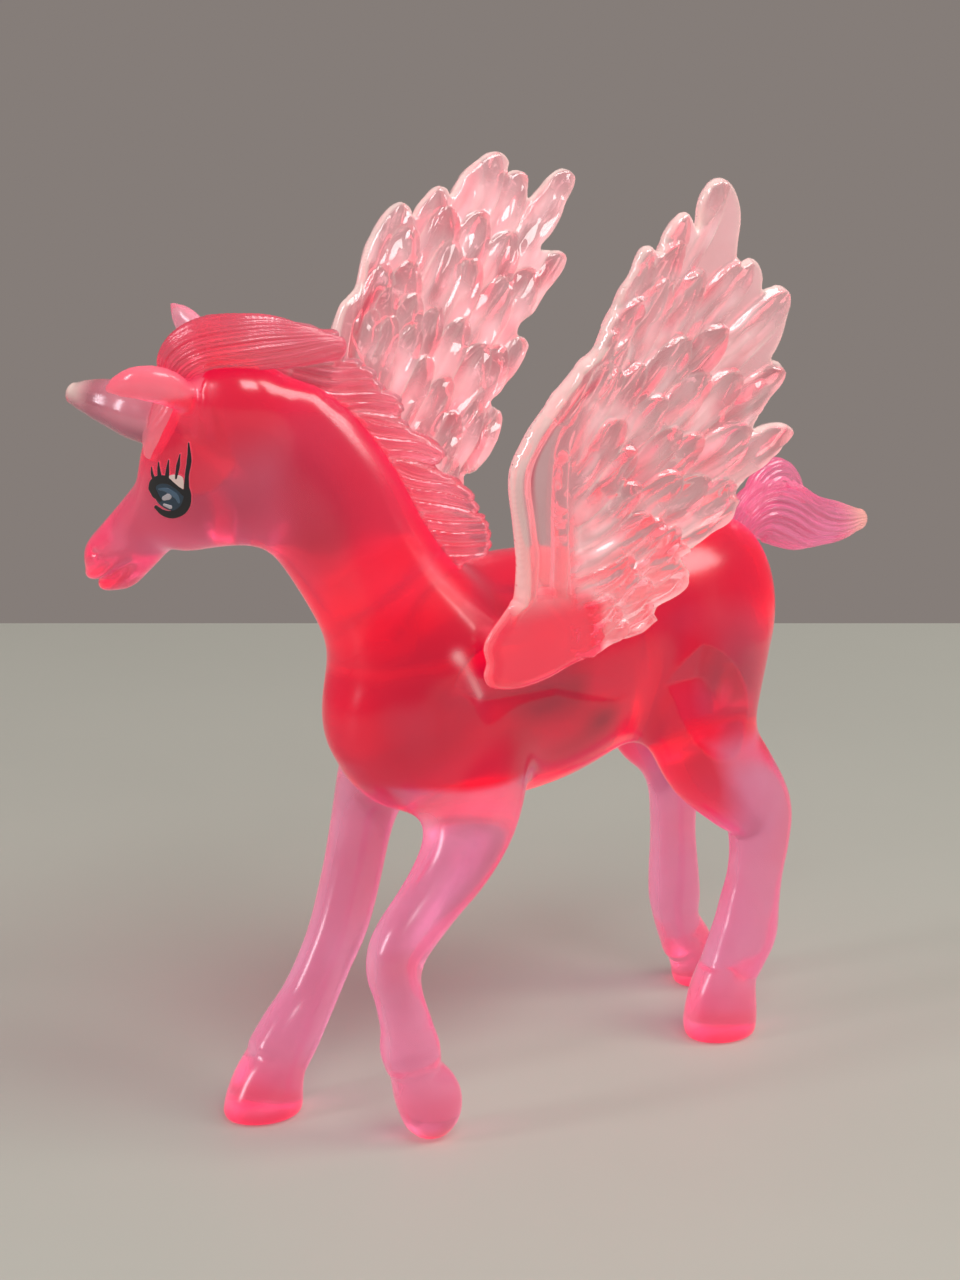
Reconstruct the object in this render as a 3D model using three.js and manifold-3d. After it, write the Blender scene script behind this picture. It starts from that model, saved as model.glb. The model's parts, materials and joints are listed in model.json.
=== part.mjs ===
// Toy winged unicorn foal of see-through fluorescent pink plastic, standing, its head turned to its right.
// Sizes are millimetres. The foal faces -Y, its left is +X, and its hooves stand on z = 0.
import * as THREE from 'three';
import { mergeVertices } from 'three/addons/utils/BufferGeometryUtils.js';
import Module from 'manifold-3d';

const wasm = await Module();
wasm.setup();

const V = (x, y, z) => new THREE.Vector3(x, y, z);
const radians = THREE.MathUtils.degToRad;

// Gap between a piece and its seat
const clearance = 0.3;

// Trunk, from its front end at the breast back to its rear end at the rump
const trunkFront = -14.0;
const trunkLength = 45.6;
// Upright slices of the trunk: share of its length, height of the middle, half width, half height
const trunkSlices = [
  [0, 43.2, 5.0, 7.2],
  [0.077, 42.2, 6.8, 10.2],
  [0.197, 42.0, 7.8, 11.9],
  [0.329, 42.2, 8.0, 12.2],
  [0.482, 42.2, 7.8, 11.9],
  [0.636, 42.9, 7.3, 10.8],
  [0.768, 43.6, 7.0, 10.0],
  [0.899, 44.0, 7.2, 10.2],
  [1, 43.8, 6.6, 9.7],
];
const breastRound = 3.2;
const rumpRound = 5.2;

// Neck, in the upright plane that it bends in. Its root is in the trunk, and the head's origin is on it at
// a reach forward and a rise above that root.
const neckTurn = 40;
const neckRootBehind = 4.2;
const neckRoot = V(0, trunkFront + neckRootBehind, 43.8);
const headReach = 16.1;
const headRise = 23.2;
// Slices of the neck: shares of that reach and rise, half width, half depth
const neckSlices = [
  [-0.242, 0, 7.0, 9.2],
  [-0.062, 0.207, 6.4, 8.0],
  [0.093, 0.379, 5.6, 7.0],
  [0.248, 0.56, 4.9, 6.9],
  [0.404, 0.741, 4.6, 7.3],
  [0.609, 0.909, 4.5, 7.7],
];
const pollRound = 5.2;

// Head, in its own frame at the poll: forward, up, half width, half depth
const headTurn = 63;
const headTilt = 16;
const headSlices = [
  [-1.5, 0.0, 4.4, 6.3],
  [2.0, -1.5, 4.8, 6.0],
  [4.7, -4.6, 4.5, 5.2],
  [7.1, -7.2, 3.7, 3.75],
  [9.6, -9.6, 3.0, 3.35],
  [12.0, -12.0, 2.75, 3.25],
  [14.2, -14.2, 2.7, 3.2],
];
const napeRound = 3.0;
const noseRound = 3.2;

// Cheeks and poll, which fill the bend between neck and head: forward, left, up, half width, half depth
const cheekSlices = [
  [-7.6, -2.9, -2.2, 3.6, 7.4],
  [-3.6, -1.3, -2.2, 4.5, 8.5],
  [1.0, 0.0, -3.9, 4.8, 7.7],
  [4.6, 0.0, -6.6, 4.4, 5.6],
  [7.2, 0.0, -8.9, 3.5, 4.1],
];
const cheekRound = 1.6;
const gulletRound = 3.4;
// Crown, the rounded top of the head behind the forehead: forward, left, up, half width, half depth
const crownSlices = [
  [-3.4, -0.3, 3.3, 4.1, 4.8],
  [0.2, -0.3, 3.7, 4.2, 4.9],
];
const crownRound = 3.0;

// Ears, in the head frame: forward, left, up, half width, half depth
const earSlices = {
  left: [
    [1.4, 2.6, 5.0, 1.2, 1.0],
    [3.2, 3.6, 7.0, 1.75, 1.25],
    [5.4, 4.3, 7.6, 1.65, 1.2],
    [7.4, 4.6, 7.3, 1.1, 0.85],
    [8.7, 4.7, 6.9, 0.35, 0.35],
  ],
  right: [
    [1.4, -2.6, 5.0, 1.2, 1.0],
    [3.2, -3.6, 7.6, 1.6, 1.2],
    [4.8, -4.4, 9.1, 1.4, 1.0],
    [5.9, -4.8, 10.3, 0.9, 0.7],
    [6.5, -5.0, 11.0, 0.35, 0.35],
  ],
};

// Horn, from the forehead to its tip, in the head frame: forward, up, radius
const hornSlices = [
  [6.9, 1.9, 2.9],
  [8.5, 2.3, 2.85],
  [11.0, 2.8, 2.4],
  [13.4, 3.25, 1.8],
  [15.1, 3.45, 1.15],
  [15.9, 3.5, 0.75],
];
const hornTipRound = 0.6;
const hornPegRadius = 1.1;
const hornPegLength = 3.0;

// Eyes: place on the side of the head (forward, up), radius, and depth below the widest part beside them
const eyePlace = [4.4, -3.6];
const eyeRadius = 1.9;
const eyeDepth = 0.5;
const eyeInnerReach = headSlices[2][2] - eyeDepth;

// Legs, from inside the trunk to the pastern: x, y behind the trunk's front end (fore legs) or rear end
// (hind legs), z, half width, half depth
const legSlices = {
  frontLeft: [
    [4.6, 9.8, 40.0, 3.6, 6.8],
    [6.2, 8.1, 32.2, 3.8, 5.2],
    [6.9, 5.6, 27.8, 3.5, 3.9],
    [7.0, 2.0, 24.2, 3.0, 3.1],
    [7.0, -1.5, 20.8, 2.8, 2.9],
    [7.0, -2.4, 18.2, 2.7, 2.6],
    [7.0, -1.9, 15.6, 2.4, 2.3],
    [7.0, -1.0, 12.4, 2.5, 2.5],
    [7.0, -0.6, 10.2, 2.8, 2.9],
    [7.0, -0.2, 8.6, 2.7, 2.8],
  ],
  frontRight: [
    [-4.6, 8.6, 40.0, 3.6, 6.2],
    [-6.8, 6.6, 33.0, 3.5, 4.0],
    [-7.8, 5.6, 28.0, 3.1, 3.2],
    [-8.0, 4.4, 22.8, 2.9, 3.0],
    [-8.0, 2.8, 17.8, 2.8, 2.9],
    [-8.0, 0.8, 14.0, 2.6, 2.7],
    [-8.0, -1.3, 10.6, 2.7, 2.8],
    [-8.0, -3.3, 8.0, 2.9, 3.2],
    [-8.0, -5.0, 5.8, 3.0, 3.3],
  ],
  hindLeft: [
    [4.4, -4.6, 43.0, 4.2, 7.2],
    [5.5, -7.2, 36.6, 4.2, 7.0],
    [6.0, -6.7, 31.6, 3.8, 5.9],
    [6.2, -2.8, 27.2, 3.3, 5.0],
    [6.2, 0.2, 23.8, 3.0, 4.1],
    [6.2, 0.6, 20.4, 2.8, 3.4],
    [6.1, 0.2, 16.8, 2.6, 3.1],
    [6.0, -0.4, 13.6, 2.8, 3.4],
    [6.0, -1.0, 10.8, 3.0, 3.7],
    [5.8, -2.0, 8.6, 3.0, 3.5],
    [5.7, -2.9, 7.0, 3.0, 3.2],
  ],
  hindRight: [
    [-4.4, -3.2, 43.0, 4.0, 7.0],
    [-5.2, -3.6, 36.6, 4.0, 7.0],
    [-5.9, -3.4, 31.4, 3.5, 5.4],
    [-6.3, -1.0, 27.2, 2.8, 3.7],
    [-6.5, 0.3, 23.6, 2.5, 2.9],
    [-6.5, 0.4, 18.4, 2.4, 2.4],
    [-6.5, 0.6, 13.6, 2.6, 2.7],
    [-6.5, 0.8, 10.8, 2.6, 2.8],
    [-6.5, 1.2, 8.0, 2.4, 2.4],
    [-6.5, 2.6, 5.2, 2.6, 2.7],
  ],
};
const pasternRoundShare = 0.7;
// Hooves: how far the sole lies behind the pastern, half width and half length of the sole, and height
const hooves = {
  frontRight: { soleBehind: -1.9, halfWidth: 3.4, halfLength: 4.1, height: 5.8 },
  hindLeft: { soleBehind: -1.1, halfWidth: 3.4, halfLength: 4.1, height: 6.6 },
  hindRight: { soleBehind: 2.8, halfWidth: 3.3, halfLength: 3.7, height: 4.8 },
};
const hoofTopShare = 0.8;
const hoofLeanShare = 0.7;
// The left front hoof is lifted onto its toe: y behind the pastern, z, half width, half depth
const liftedHoofSlices = [
  [0.3, 8.0, 2.4, 2.7],
  [1.2, 6.4, 2.8, 3.2],
  [1.8, 4.6, 3.0, 3.4],
  [2.1, 2.8, 2.8, 3.1],
  [2.2, 1.4, 2.2, 2.5],
  [2.3, 0.0, 1.1, 1.3],
];

// Mane, in the neck plane: its outer edge between locks and the edge set in the neck, as shares of the
// reach and rise, and the locks that stand out past the outer edge, from the highest down
const maneOuter = [
  [-0.503, 0.509], [-0.36, 0.681], [-0.137, 0.888], [0.087, 1.078], [0.323, 1.293], [0.559, 1.44],
  [0.907, 1.474],
];
const maneInner = [
  [-0.273, 0.457], [-0.174, 0.638], [0.025, 0.845], [0.261, 1.06], [0.534, 1.155], [0.907, 1.19],
];
const maneLocks = [
  [
    [0.714, 1.388], [0.758, 1.5], [0.534, 1.478], [0.447, 1.453], [0.36, 1.448], [0.317, 1.409],
    [0.298, 1.345], [0.335, 1.31], [0.528, 1.328],
  ],
  [
    [0.404, 1.216], [0.373, 1.328], [0.298, 1.341], [0.193, 1.315], [0.13, 1.28], [0.093, 1.228],
    [0.019, 1.198], [-0.031, 1.151], [-0.019, 1.095], [0.037, 1.078], [0.186, 1.112],
  ],
  [
    [0.149, 1.034], [0.099, 1.103], [-0.019, 1.086], [-0.093, 1.043], [-0.18, 1.013],
    [-0.242, 0.987], [-0.273, 0.957], [-0.261, 0.918], [-0.18, 0.897], [-0.037, 0.905],
  ],
  [
    [-0.075, 0.836], [-0.124, 0.914], [-0.18, 0.905], [-0.267, 0.871], [-0.348, 0.841],
    [-0.41, 0.806], [-0.441, 0.767], [-0.466, 0.716], [-0.41, 0.69], [-0.261, 0.698],
  ],
  [
    [-0.286, 0.629], [-0.335, 0.711], [-0.46, 0.703], [-0.516, 0.664], [-0.534, 0.612],
    [-0.534, 0.56], [-0.503, 0.522], [-0.435, 0.504],
  ],
];
const maneThickness = 1.8;
// Forelock, in the head frame: forward, left, up, half width, half depth
const forelockSlices = [
  [-8.6, -3.6, 8.6, 1.2, 1.8],
  [-4.8, -1.8, 9.9, 2.3, 2.7],
  [-1.2, -0.3, 10.2, 3.1, 3.0],
  [1.8, 0.2, 9.5, 3.4, 3.0],
  [4.0, 0.4, 7.9, 3.0, 2.5],
  [5.2, 0.6, 6.2, 1.7, 1.3],
];
const forelockRound = 0.9;

// Tail, in the middle plane. Its root lies behind and above the middle of the rump's last slice.
const tailRootBehind = 2.2;
const tailRootAbove = 5.6;
const [, rumpZ] = trunkSlices.at(-1);
const tailRoot = V(0, trunkFront + trunkLength + tailRootBehind, rumpZ + tailRootAbove);
// Slices of the tail and of the tuft on top of it: y and z from the root, half width, half depth
const tailSlices = [
  [-0.4, 0.4, 1.2, 1.4],
  [1.2, 2.6, 1.7, 2.1],
  [3.4, 3.6, 2.2, 2.9],
  [6.2, 3.1, 2.4, 3.2],
  [9.4, 1.8, 2.3, 2.9],
  [12.4, 1.1, 2.0, 2.4],
  [15.4, 0.7, 1.5, 1.9],
  [17.8, 0.5, 0.9, 1.2],
];
const tailTuftSlices = [
  [1.8, 4.0, 0.9, 1.2],
  [3.6, 6.2, 1.3, 1.7],
  [5.6, 7.1, 1.4, 1.8],
  [7.4, 6.2, 1.2, 1.4],
  [9.0, 4.6, 0.6, 0.7],
];
const tailTipRound = 1.5;
const tailRootRound = 1.0;

// Wings: the swivel centre stands off the trunk's widest slice, above its middle and in front of it
const wingStandOff = 2.0;
const wingRise = 5.2;
const wingShare = 0.307;
const [, shoulderZ, shoulderHalfWidth] = trunkSlices[3];
const wingPivot = V(
  shoulderHalfWidth + wingStandOff,
  trunkFront + wingShare * trunkLength,
  shoulderZ + wingRise,
);
// How far a wing's plane leans out, the wing's thicknesses, and its peg and boss
const wingLean = 11;
const bladeThickness = 1.0;
const featherThickness = 1.7;
const wingPegRadius = 1.6;
const wingPegLength = 3.4;
const bossRadius = 3.2;
const bossLength = 5.0;
// Flat land on the flank, which the wing passes as it swivels, and how far out it clears
const landOutline = [[-14, -1], [-6, -4.8], [3, -5.2], [11, -8], [22, -8], [22, 16], [-14, 16]];
const landDepth = 8;
// Points of a wing are rearward and upward from its swivel
const armRib = {
  left: [
    [-3.4, -0.6], [-4.4, 5.8], [-6.1, 15.4], [-4.9, 20.6], [-2.2, 24.8], [1.4, 29.8], [4.0, 34.2],
  ],
  right: [
    [-3.4, -0.6], [-5.0, 5.8], [-6.6, 14.6], [-6.2, 21.6], [-4.4, 27.2], [-1.4, 31.8], [1.4, 35.2],
  ],
};
const innerRib = [[0.0, 2.0], [-0.6, 9.0], [-1.6, 15.4], [-2.0, 21.0]];
const ribRadius = 1.1;
const innerRibRadius = 0.9;
const rootLobe = [
  [-7.4, 0.8], [-3.6, -3.2], [4.6, -2.4], [11.6, -0.6], [9.0, 5.0], [0.6, 6.6], [-4.8, 6.0],
];
const lobeLowCount = 3;
// Feathers, from the leading one to the lowest: their tips, and the line that their roots start on
const featherTips = {
  left: [
    [5.3, 38.6], [9.9, 41.4], [13.3, 44.4], [18.9, 36.0], [24.5, 32.1],
    [25.0, 26.4], [27.7, 17.9], [21.7, 12.5], [16.8, 4.2], [13.0, -0.8],
  ],
  right: [
    [4.4, 38.8], [9.3, 40.1], [17.2, 42.8], [20.2, 40.6], [26.7, 40.1],
    [24.3, 31.9], [18.4, 24.0], [14.0, 17.7], [9.0, 11.2], [6.0, 3.4],
  ],
};
const featherRootLine = [[-1.4, 21.6], [2.4, 1.6]];
const featherHalfWidth = 2.3;
// How a feather swells and tapers: share of its length, share of its full width
const featherTaper = [[0, 0.4], [0.4, 0.95], [0.75, 1], [0.9, 0.82], [0.97, 0.55], [1, 0.2]];
// The web between the feathers ends at this share of their length
const webReach = 0.8;

// Degrees that each flat side takes up around a round form
const facetDegrees = {
  trunk: 18, neck: 20, head: 22.5, ear: 36, leg: 30, hoof: 22.5,
  mane: 30, tail: 30, rod: 22.5, rib: 45, feather: 60,
};
const roundAngles = [radians(30), radians(60)];

// Finishes
const finish = {
  body: { color: 0xe8284e, roughness: 0.12 },
  mane: { color: 0xee6f80, roughness: 0.2 },
  tail: { color: 0xe573a8, roughness: 0.18 },
  horn: { color: 0xd9b3b4, roughness: 0.12 },
  eye: { color: 0x1c2430, roughness: 0.3 },
  wing: { color: 0xf0a9ad, roughness: 0.15 },
};

// A solid from points and triangles, and back to a geometry
function solidOf(points, triangles) {
  const vertProperties = new Float32Array(points.flatMap((p) => [p.x, p.y, p.z]));
  const triVerts = new Uint32Array(triangles.flat());
  return new wasm.Manifold(new wasm.Mesh({ numProp: 3, vertProperties, triVerts }));
}

function geometryOf(solid) {
  const mesh = solid.getMesh();
  const geometry = new THREE.BufferGeometry();
  geometry.setAttribute('position', new THREE.BufferAttribute(mesh.vertProperties, 3));
  geometry.setIndex(new THREE.BufferAttribute(mesh.triVerts, 1));
  geometry.computeVertexNormals();
  return geometry;
}

const mergeDistance = 1e-5;
function solidFromGeometry(geometry) {
  geometry.deleteAttribute('normal');
  geometry.deleteAttribute('uv');
  const merged = mergeVertices(geometry, mergeDistance);
  const position = merged.getAttribute('position');
  const vertProperties = new Float32Array(position.array);
  const triVerts = new Uint32Array(merged.index.array);
  return new wasm.Manifold(new wasm.Mesh({ numProp: 3, vertProperties, triVerts }));
}

const joined = (solids) => solids.reduce((whole, next) => whole.add(next));

// A closed solid through rings: each has its centre, half width along `across`, half depth at right angles.
// Each span has `steps` rings, `level` keeps every ring level, and the rounds close the ends as domes.
function tube(rings, across, degrees, { steps = 2, startRound = 0, endRound = 0, level = false } = {}) {
  const sides = Math.round(360 / degrees);
  const centres = new THREE.CatmullRomCurve3(rings.map((r) => r.at));
  const sizes = new THREE.CatmullRomCurve3(rings.map((r) => V(r.wide, r.deep, 0)));
  const count = (rings.length - 1) * steps;
  const frames = [];
  for (let i = 0; i <= count; i += 1) {
    const along = level ? V(0, 0, -1) : centres.getTangent(i / count);
    const side = across.clone().addScaledVector(along, -across.dot(along)).normalize();
    const size = sizes.getPoint(i / count);
    frames.push({ at: centres.getPoint(i / count), along, side, wide: size.x, deep: size.y });
  }
  const domed = (frame, reach) => roundAngles.map((a) => ({
    ...frame,
    at: frame.at.clone().addScaledVector(frame.along, reach * Math.sin(a)),
    wide: frame.wide * Math.cos(a),
    deep: frame.deep * Math.cos(a),
  }));
  const first = frames[0];
  const last = frames[count];
  const all = [
    ...(startRound ? domed(first, -startRound).reverse() : []),
    ...frames,
    ...(endRound ? domed(last, endRound) : []),
  ];
  const points = [];
  for (const frame of all) {
    const upright = frame.along.clone().cross(frame.side);
    for (let j = 0; j < sides; j += 1) {
      const turn = (2 * Math.PI * j) / sides;
      points.push(frame.at.clone()
        .addScaledVector(frame.side, frame.wide * Math.cos(turn))
        .addScaledVector(upright, frame.deep * Math.sin(turn)));
    }
  }
  const startPole = points.push(first.at.clone().addScaledVector(first.along, -startRound)) - 1;
  const endPole = points.push(last.at.clone().addScaledVector(last.along, endRound)) - 1;
  const triangles = [];
  for (let j = 0; j < sides; j += 1) {
    const next = (j + 1) % sides;
    const lastRow = (all.length - 1) * sides;
    triangles.push([startPole, next, j], [endPole, lastRow + j, lastRow + next]);
    for (let i = 0; i < all.length - 1; i += 1) {
      const row = i * sides;
      const nextRow = row + sides;
      triangles.push([row + j, row + next, nextRow + next], [row + j, nextRow + next, nextRow + j]);
    }
  }
  return solidOf(points, triangles);
}

// A straight round rod between two points, which lies nearer level than upright
function rod(from, to, radius) {
  const rings = [from, to].map((at) => ({ at, wide: radius, deep: radius }));
  return tube(rings, V(0, 0, 1), facetDegrees.rod, { steps: 1 });
}

// A flat plate of an outline, `thickness` thick about its middle plane, placed by a frame's matrix
function plate(outline, thickness, matrix) {
  const shape = new THREE.Shape(outline.map(([a, b]) => new THREE.Vector2(a, b)));
  const geometry = new THREE.ExtrudeGeometry(shape, { depth: thickness, bevelEnabled: false });
  geometry.translate(0, 0, -thickness / 2);
  geometry.applyMatrix4(matrix);
  return solidFromGeometry(geometry);
}

// Frames that the pieces are drawn in
const neckForward = V(-Math.sin(radians(neckTurn)), -Math.cos(radians(neckTurn)), 0);
const neckLeft = V(Math.cos(radians(neckTurn)), -Math.sin(radians(neckTurn)), 0);
const neckPoint = (reachShare, riseShare) => neckRoot.clone()
  .addScaledVector(neckForward, reachShare * headReach)
  .add(V(0, 0, riseShare * headRise));

const headForward = V(-Math.sin(radians(headTurn)), -Math.cos(radians(headTurn)), 0);
const headLeft = V(Math.cos(radians(headTurn)), -Math.sin(radians(headTurn)), 0)
  .applyAxisAngle(headForward, -radians(headTilt));
const headUp = headForward.clone().cross(headLeft);
const headOrigin = neckPoint(1, 1);
const headPoint = (forward, left, up) => headOrigin.clone()
  .addScaledVector(headForward, forward)
  .addScaledVector(headLeft, left)
  .addScaledVector(headUp, up);

// A wing's plane holds the fore-and-aft direction, and `out` is the axis of its swivel
const sideSigns = { left: 1, right: -1 };
function wingFrame(side) {
  const sign = sideSigns[side];
  const rear = V(0, 1, 0);
  const up = V(sign * Math.sin(radians(wingLean)), 0, Math.cos(radians(wingLean)));
  const normal = rear.clone().cross(up);
  const out = normal.clone().multiplyScalar(sign);
  const centre = V(sign * wingPivot.x, wingPivot.y, wingPivot.z);
  const place = ([u, v], w = 0) => centre.clone()
    .addScaledVector(rear, u).addScaledVector(up, v).addScaledVector(out, w);
  // A plate drawn in the wing plane, with its middle `w` outward of that plane
  const matrix = (w = 0) => new THREE.Matrix4().makeBasis(rear, up, normal).setPosition(place([0, 0], w));
  return { out, matrix, place };
}

// Trunk, neck, head and legs
function trunk() {
  const rings = trunkSlices.map(([share, z, wide, deep]) => (
    { at: V(0, trunkFront + share * trunkLength, z), wide, deep }));
  return tube(rings, V(1, 0, 0), facetDegrees.trunk, { startRound: breastRound, endRound: rumpRound });
}

function neck() {
  const rings = neckSlices.map(([reach, rise, wide, deep]) => (
    { at: neckPoint(reach, rise), wide, deep }));
  return tube(rings, neckLeft, facetDegrees.neck, { endRound: pollRound });
}

function head() {
  const rings = headSlices.map(([f, u, wide, deep]) => ({ at: headPoint(f, 0, u), wide, deep }));
  return tube(rings, headLeft, facetDegrees.head, { startRound: napeRound, endRound: noseRound });
}

function ear(side) {
  const rings = earSlices[side].map(([f, l, u, wide, deep]) => ({ at: headPoint(f, l, u), wide, deep }));
  return tube(rings, headUp, facetDegrees.ear);
}

function legRings(name) {
  const trunkEnd = name.startsWith('hind') ? trunkFront + trunkLength : trunkFront;
  return legSlices[name].map(([x, behind, z, wide, deep]) => (
    { at: V(x, trunkEnd + behind, z), wide, deep }));
}

function leg(name) {
  const rings = legRings(name);
  const startRound = rings.at(-1).deep;
  const endRound = startRound * pasternRoundShare;
  return tube(rings, V(1, 0, 0), facetDegrees.leg, { startRound, endRound });
}

function hoof(name) {
  const { soleBehind, halfWidth, halfLength, height } = hooves[name];
  const ankle = legRings(name).at(-1).at;
  const soleY = ankle.y + soleBehind;
  const rings = [
    {
      at: V(ankle.x, THREE.MathUtils.lerp(soleY, ankle.y, hoofLeanShare), height),
      wide: halfWidth * hoofTopShare,
      deep: halfLength * hoofTopShare,
    },
    { at: V(ankle.x, soleY, 0), wide: halfWidth, deep: halfLength },
  ];
  return tube(rings, V(1, 0, 0), facetDegrees.hoof, { steps: 1, level: true });
}

function liftedHoof() {
  const ankle = legRings('frontLeft').at(-1).at;
  const rings = liftedHoofSlices.map(([behind, z, wide, deep]) => (
    { at: V(ankle.x, ankle.y + behind, z), wide, deep }));
  return tube(rings, V(1, 0, 0), facetDegrees.hoof, { level: true });
}

function cheeks() {
  const rings = cheekSlices.map(([f, l, u, wide, deep]) => ({ at: headPoint(f, l, u), wide, deep }));
  return tube(rings, headLeft, facetDegrees.head, { startRound: gulletRound, endRound: cheekRound });
}

function crown() {
  const rings = crownSlices.map(([f, l, u, wide, deep]) => ({ at: headPoint(f, l, u), wide, deep }));
  return tube(rings, headLeft, facetDegrees.head, { startRound: crownRound, endRound: crownRound });
}

function casting() {
  const solids = [trunk(), neck(), cheeks(), crown(), head(), liftedHoof()];
  solids.push(...Object.keys(earSlices).map(ear));
  solids.push(...Object.keys(legSlices).map(leg));
  solids.push(...Object.keys(hooves).map(hoof));
  return joined(solids);
}

// Mane: a fin on the crest of the neck, with locks past its outer edge. Grown by a clearance it is the
// groove that the fin stands in; the locks are clear of the neck.
function crest(grow) {
  const inPlane = ([reach, rise]) => new THREE.Vector2(reach * headReach, rise * headRise);
  const outer = new THREE.SplineCurve(maneOuter.map(inPlane));
  const inner = new THREE.SplineCurve(maneInner.map(inPlane));
  const offset = (curve, share, distance) => {
    const point = curve.getPoint(share);
    const tangent = curve.getTangent(share);
    const beyond = grow * (2 * share - 1);
    point.addScaledVector(tangent, beyond);
    return [point.x + tangent.y * distance, point.y - tangent.x * distance];
  };
  const steps = maneInner.length * 2;
  const outline = [];
  for (let i = 0; i <= steps; i += 1) outline.push(offset(outer, i / steps, -grow));
  for (let i = steps; i >= 0; i -= 1) outline.push(offset(inner, i / steps, grow));
  const toPlane = new THREE.Matrix4().makeBasis(neckForward, V(0, 0, 1), neckLeft.clone().negate())
    .setPosition(neckRoot);
  const lockOutlines = maneLocks.map((lock) => lock.map((point) => inPlane(point).toArray()));
  return joined([outline, ...lockOutlines].map((ring) => plate(ring, maneThickness + 2 * grow, toPlane)));
}

function forelock(grow) {
  const rings = forelockSlices.map(([f, l, u, wide, deep]) => (
    { at: headPoint(f, l, u), wide: wide + grow, deep: deep + grow }));
  const round = forelockRound + grow;
  return tube(rings, headLeft, facetDegrees.mane, { startRound: round, endRound: round });
}

const mane = (grow) => crest(grow).add(forelock(grow));

// Tail, and the socket of the same form in the rump
function tail(grow) {
  const ringsOf = (slices) => slices.map(([y, z, wide, deep]) => (
    { at: tailRoot.clone().add(V(0, y, z)), wide: wide + grow, deep: deep + grow }));
  const ends = { startRound: tailRootRound + grow, endRound: tailTipRound + grow };
  const [long, tuft] = [tailSlices, tailTuftSlices].map(ringsOf);
  return tube(long, V(1, 0, 0), facetDegrees.tail, ends).add(tube(tuft, V(1, 0, 0), facetDegrees.tail));
}

// Horn: a blunt cone on a peg, and the seat and hole for it in the forehead
const [[footForward, footUp, hornBaseRadius]] = hornSlices;
const [pointForward, pointUp] = hornSlices.at(-1);
const hornFoot = headPoint(footForward, 0, footUp);
const hornAlong = headPoint(pointForward, 0, pointUp).sub(hornFoot).normalize();
const alongHorn = (distance) => hornFoot.clone().addScaledVector(hornAlong, distance);

function hornCone(grow) {
  const rings = hornSlices.map(([f, u, radius]) => (
    { at: headPoint(f, 0, u), wide: radius + grow, deep: radius + grow }));
  return tube(rings, headLeft, facetDegrees.rod, { endRound: hornTipRound + grow });
}

function horn() {
  return hornCone(0).add(rod(alongHorn(-hornPegLength), alongHorn(hornPegLength), hornPegRadius));
}

function hornSeatCut() {
  const seat = rod(alongHorn(-clearance), alongHorn(clearance), hornBaseRadius + clearance);
  const hole = rod(alongHorn(-hornPegLength - clearance), alongHorn(0), hornPegRadius + clearance);
  return joined([hornCone(clearance), seat, hole]);
}

// Eyes: thin inlays that carry the skin's own surface, and the recesses for them
function eyePlug(side, innerReach, radius) {
  const [forward, up] = eyePlace;
  const reached = (distance) => headPoint(forward, sideSigns[side] * distance, up);
  return rod(reached(innerReach), reached(innerReach + eyeRadius), radius);
}

// Wings: how far the inner face and the boss lie inward of the wing's middle plane
const innerFace = featherThickness / 2;
const bossFace = innerFace + clearance;

function feather(frame, root, tip) {
  const from = frame.place(root);
  const to = frame.place(tip);
  const rings = featherTaper.map(([along, full]) => ({
    at: from.clone().lerp(to, along),
    wide: featherHalfWidth * full,
    deep: innerFace * Math.sqrt(full),
  }));
  const across = to.clone().sub(from).normalize().cross(frame.out);
  return tube(rings, across, facetDegrees.feather, { steps: 1 });
}

function rib(frame, points, radius) {
  const standOff = radius - bladeThickness / 2;
  const rings = points.map((p) => ({ at: frame.place(p, standOff / 2), wide: radius, deep: radius }));
  return tube(rings, frame.out, facetDegrees.rib, { startRound: radius / 2, endRound: radius / 2 });
}

function wing(side) {
  const frame = wingFrame(side);
  const tips = featherTips[side];
  const mix = (a, b, share) => [0, 1].map((k) => THREE.MathUtils.lerp(a[k], b[k], share));
  const roots = tips.map((_, i) => mix(...featherRootLine, i / (tips.length - 1)));
  const web = tips.map((tip, i) => mix(roots[i], tip, webReach));
  const arm = armRib[side];
  const solids = tips.map((tip, i) => feather(frame, roots[i], tip));
  const lowEdge = rootLobe.slice(0, lobeLowCount).reverse();
  solids.push(plate([...arm, ...web, ...lowEdge], bladeThickness, frame.matrix()));
  solids.push(plate(rootLobe, featherThickness, frame.matrix()));
  solids.push(rib(frame, arm, ribRadius), rib(frame, innerRib, innerRibRadius));
  solids.push(rod(frame.place([0, 0], -innerFace - wingPegLength), frame.place([0, 0]), wingPegRadius));
  return joined(solids);
}

// The boss on the flank and the land around it stop a clearance short of the wing, which swivels past them
function wingBoss(side) {
  const frame = wingFrame(side);
  return rod(frame.place([0, 0], -bossFace - bossLength), frame.place([0, 0], -bossFace), bossRadius);
}

function wingCut(side) {
  const frame = wingFrame(side);
  const land = plate(landOutline, landDepth, frame.matrix(landDepth / 2 - bossFace));
  const holeEnd = frame.place([0, 0], -bossFace - wingPegLength);
  return land.add(rod(holeEnd, frame.place([0, 0]), wingPegRadius + clearance));
}

// The casting with its bosses, less the seats, sockets, groove and recesses of the other pieces
const skin = casting();
const bothSides = Object.keys(sideSigns);
const eyeRecess = (side) => eyePlug(side, eyeInnerReach - clearance, eyeRadius + clearance);
const seats = [mane(clearance), tail(clearance), hornSeatCut()];
const cuts = [...seats, ...bothSides.map(wingCut), ...bothSides.map(eyeRecess)];
const body = cuts.reduce((solid, cut) => solid.subtract(cut), joined([skin, ...bothSides.map(wingBoss)]));

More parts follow.
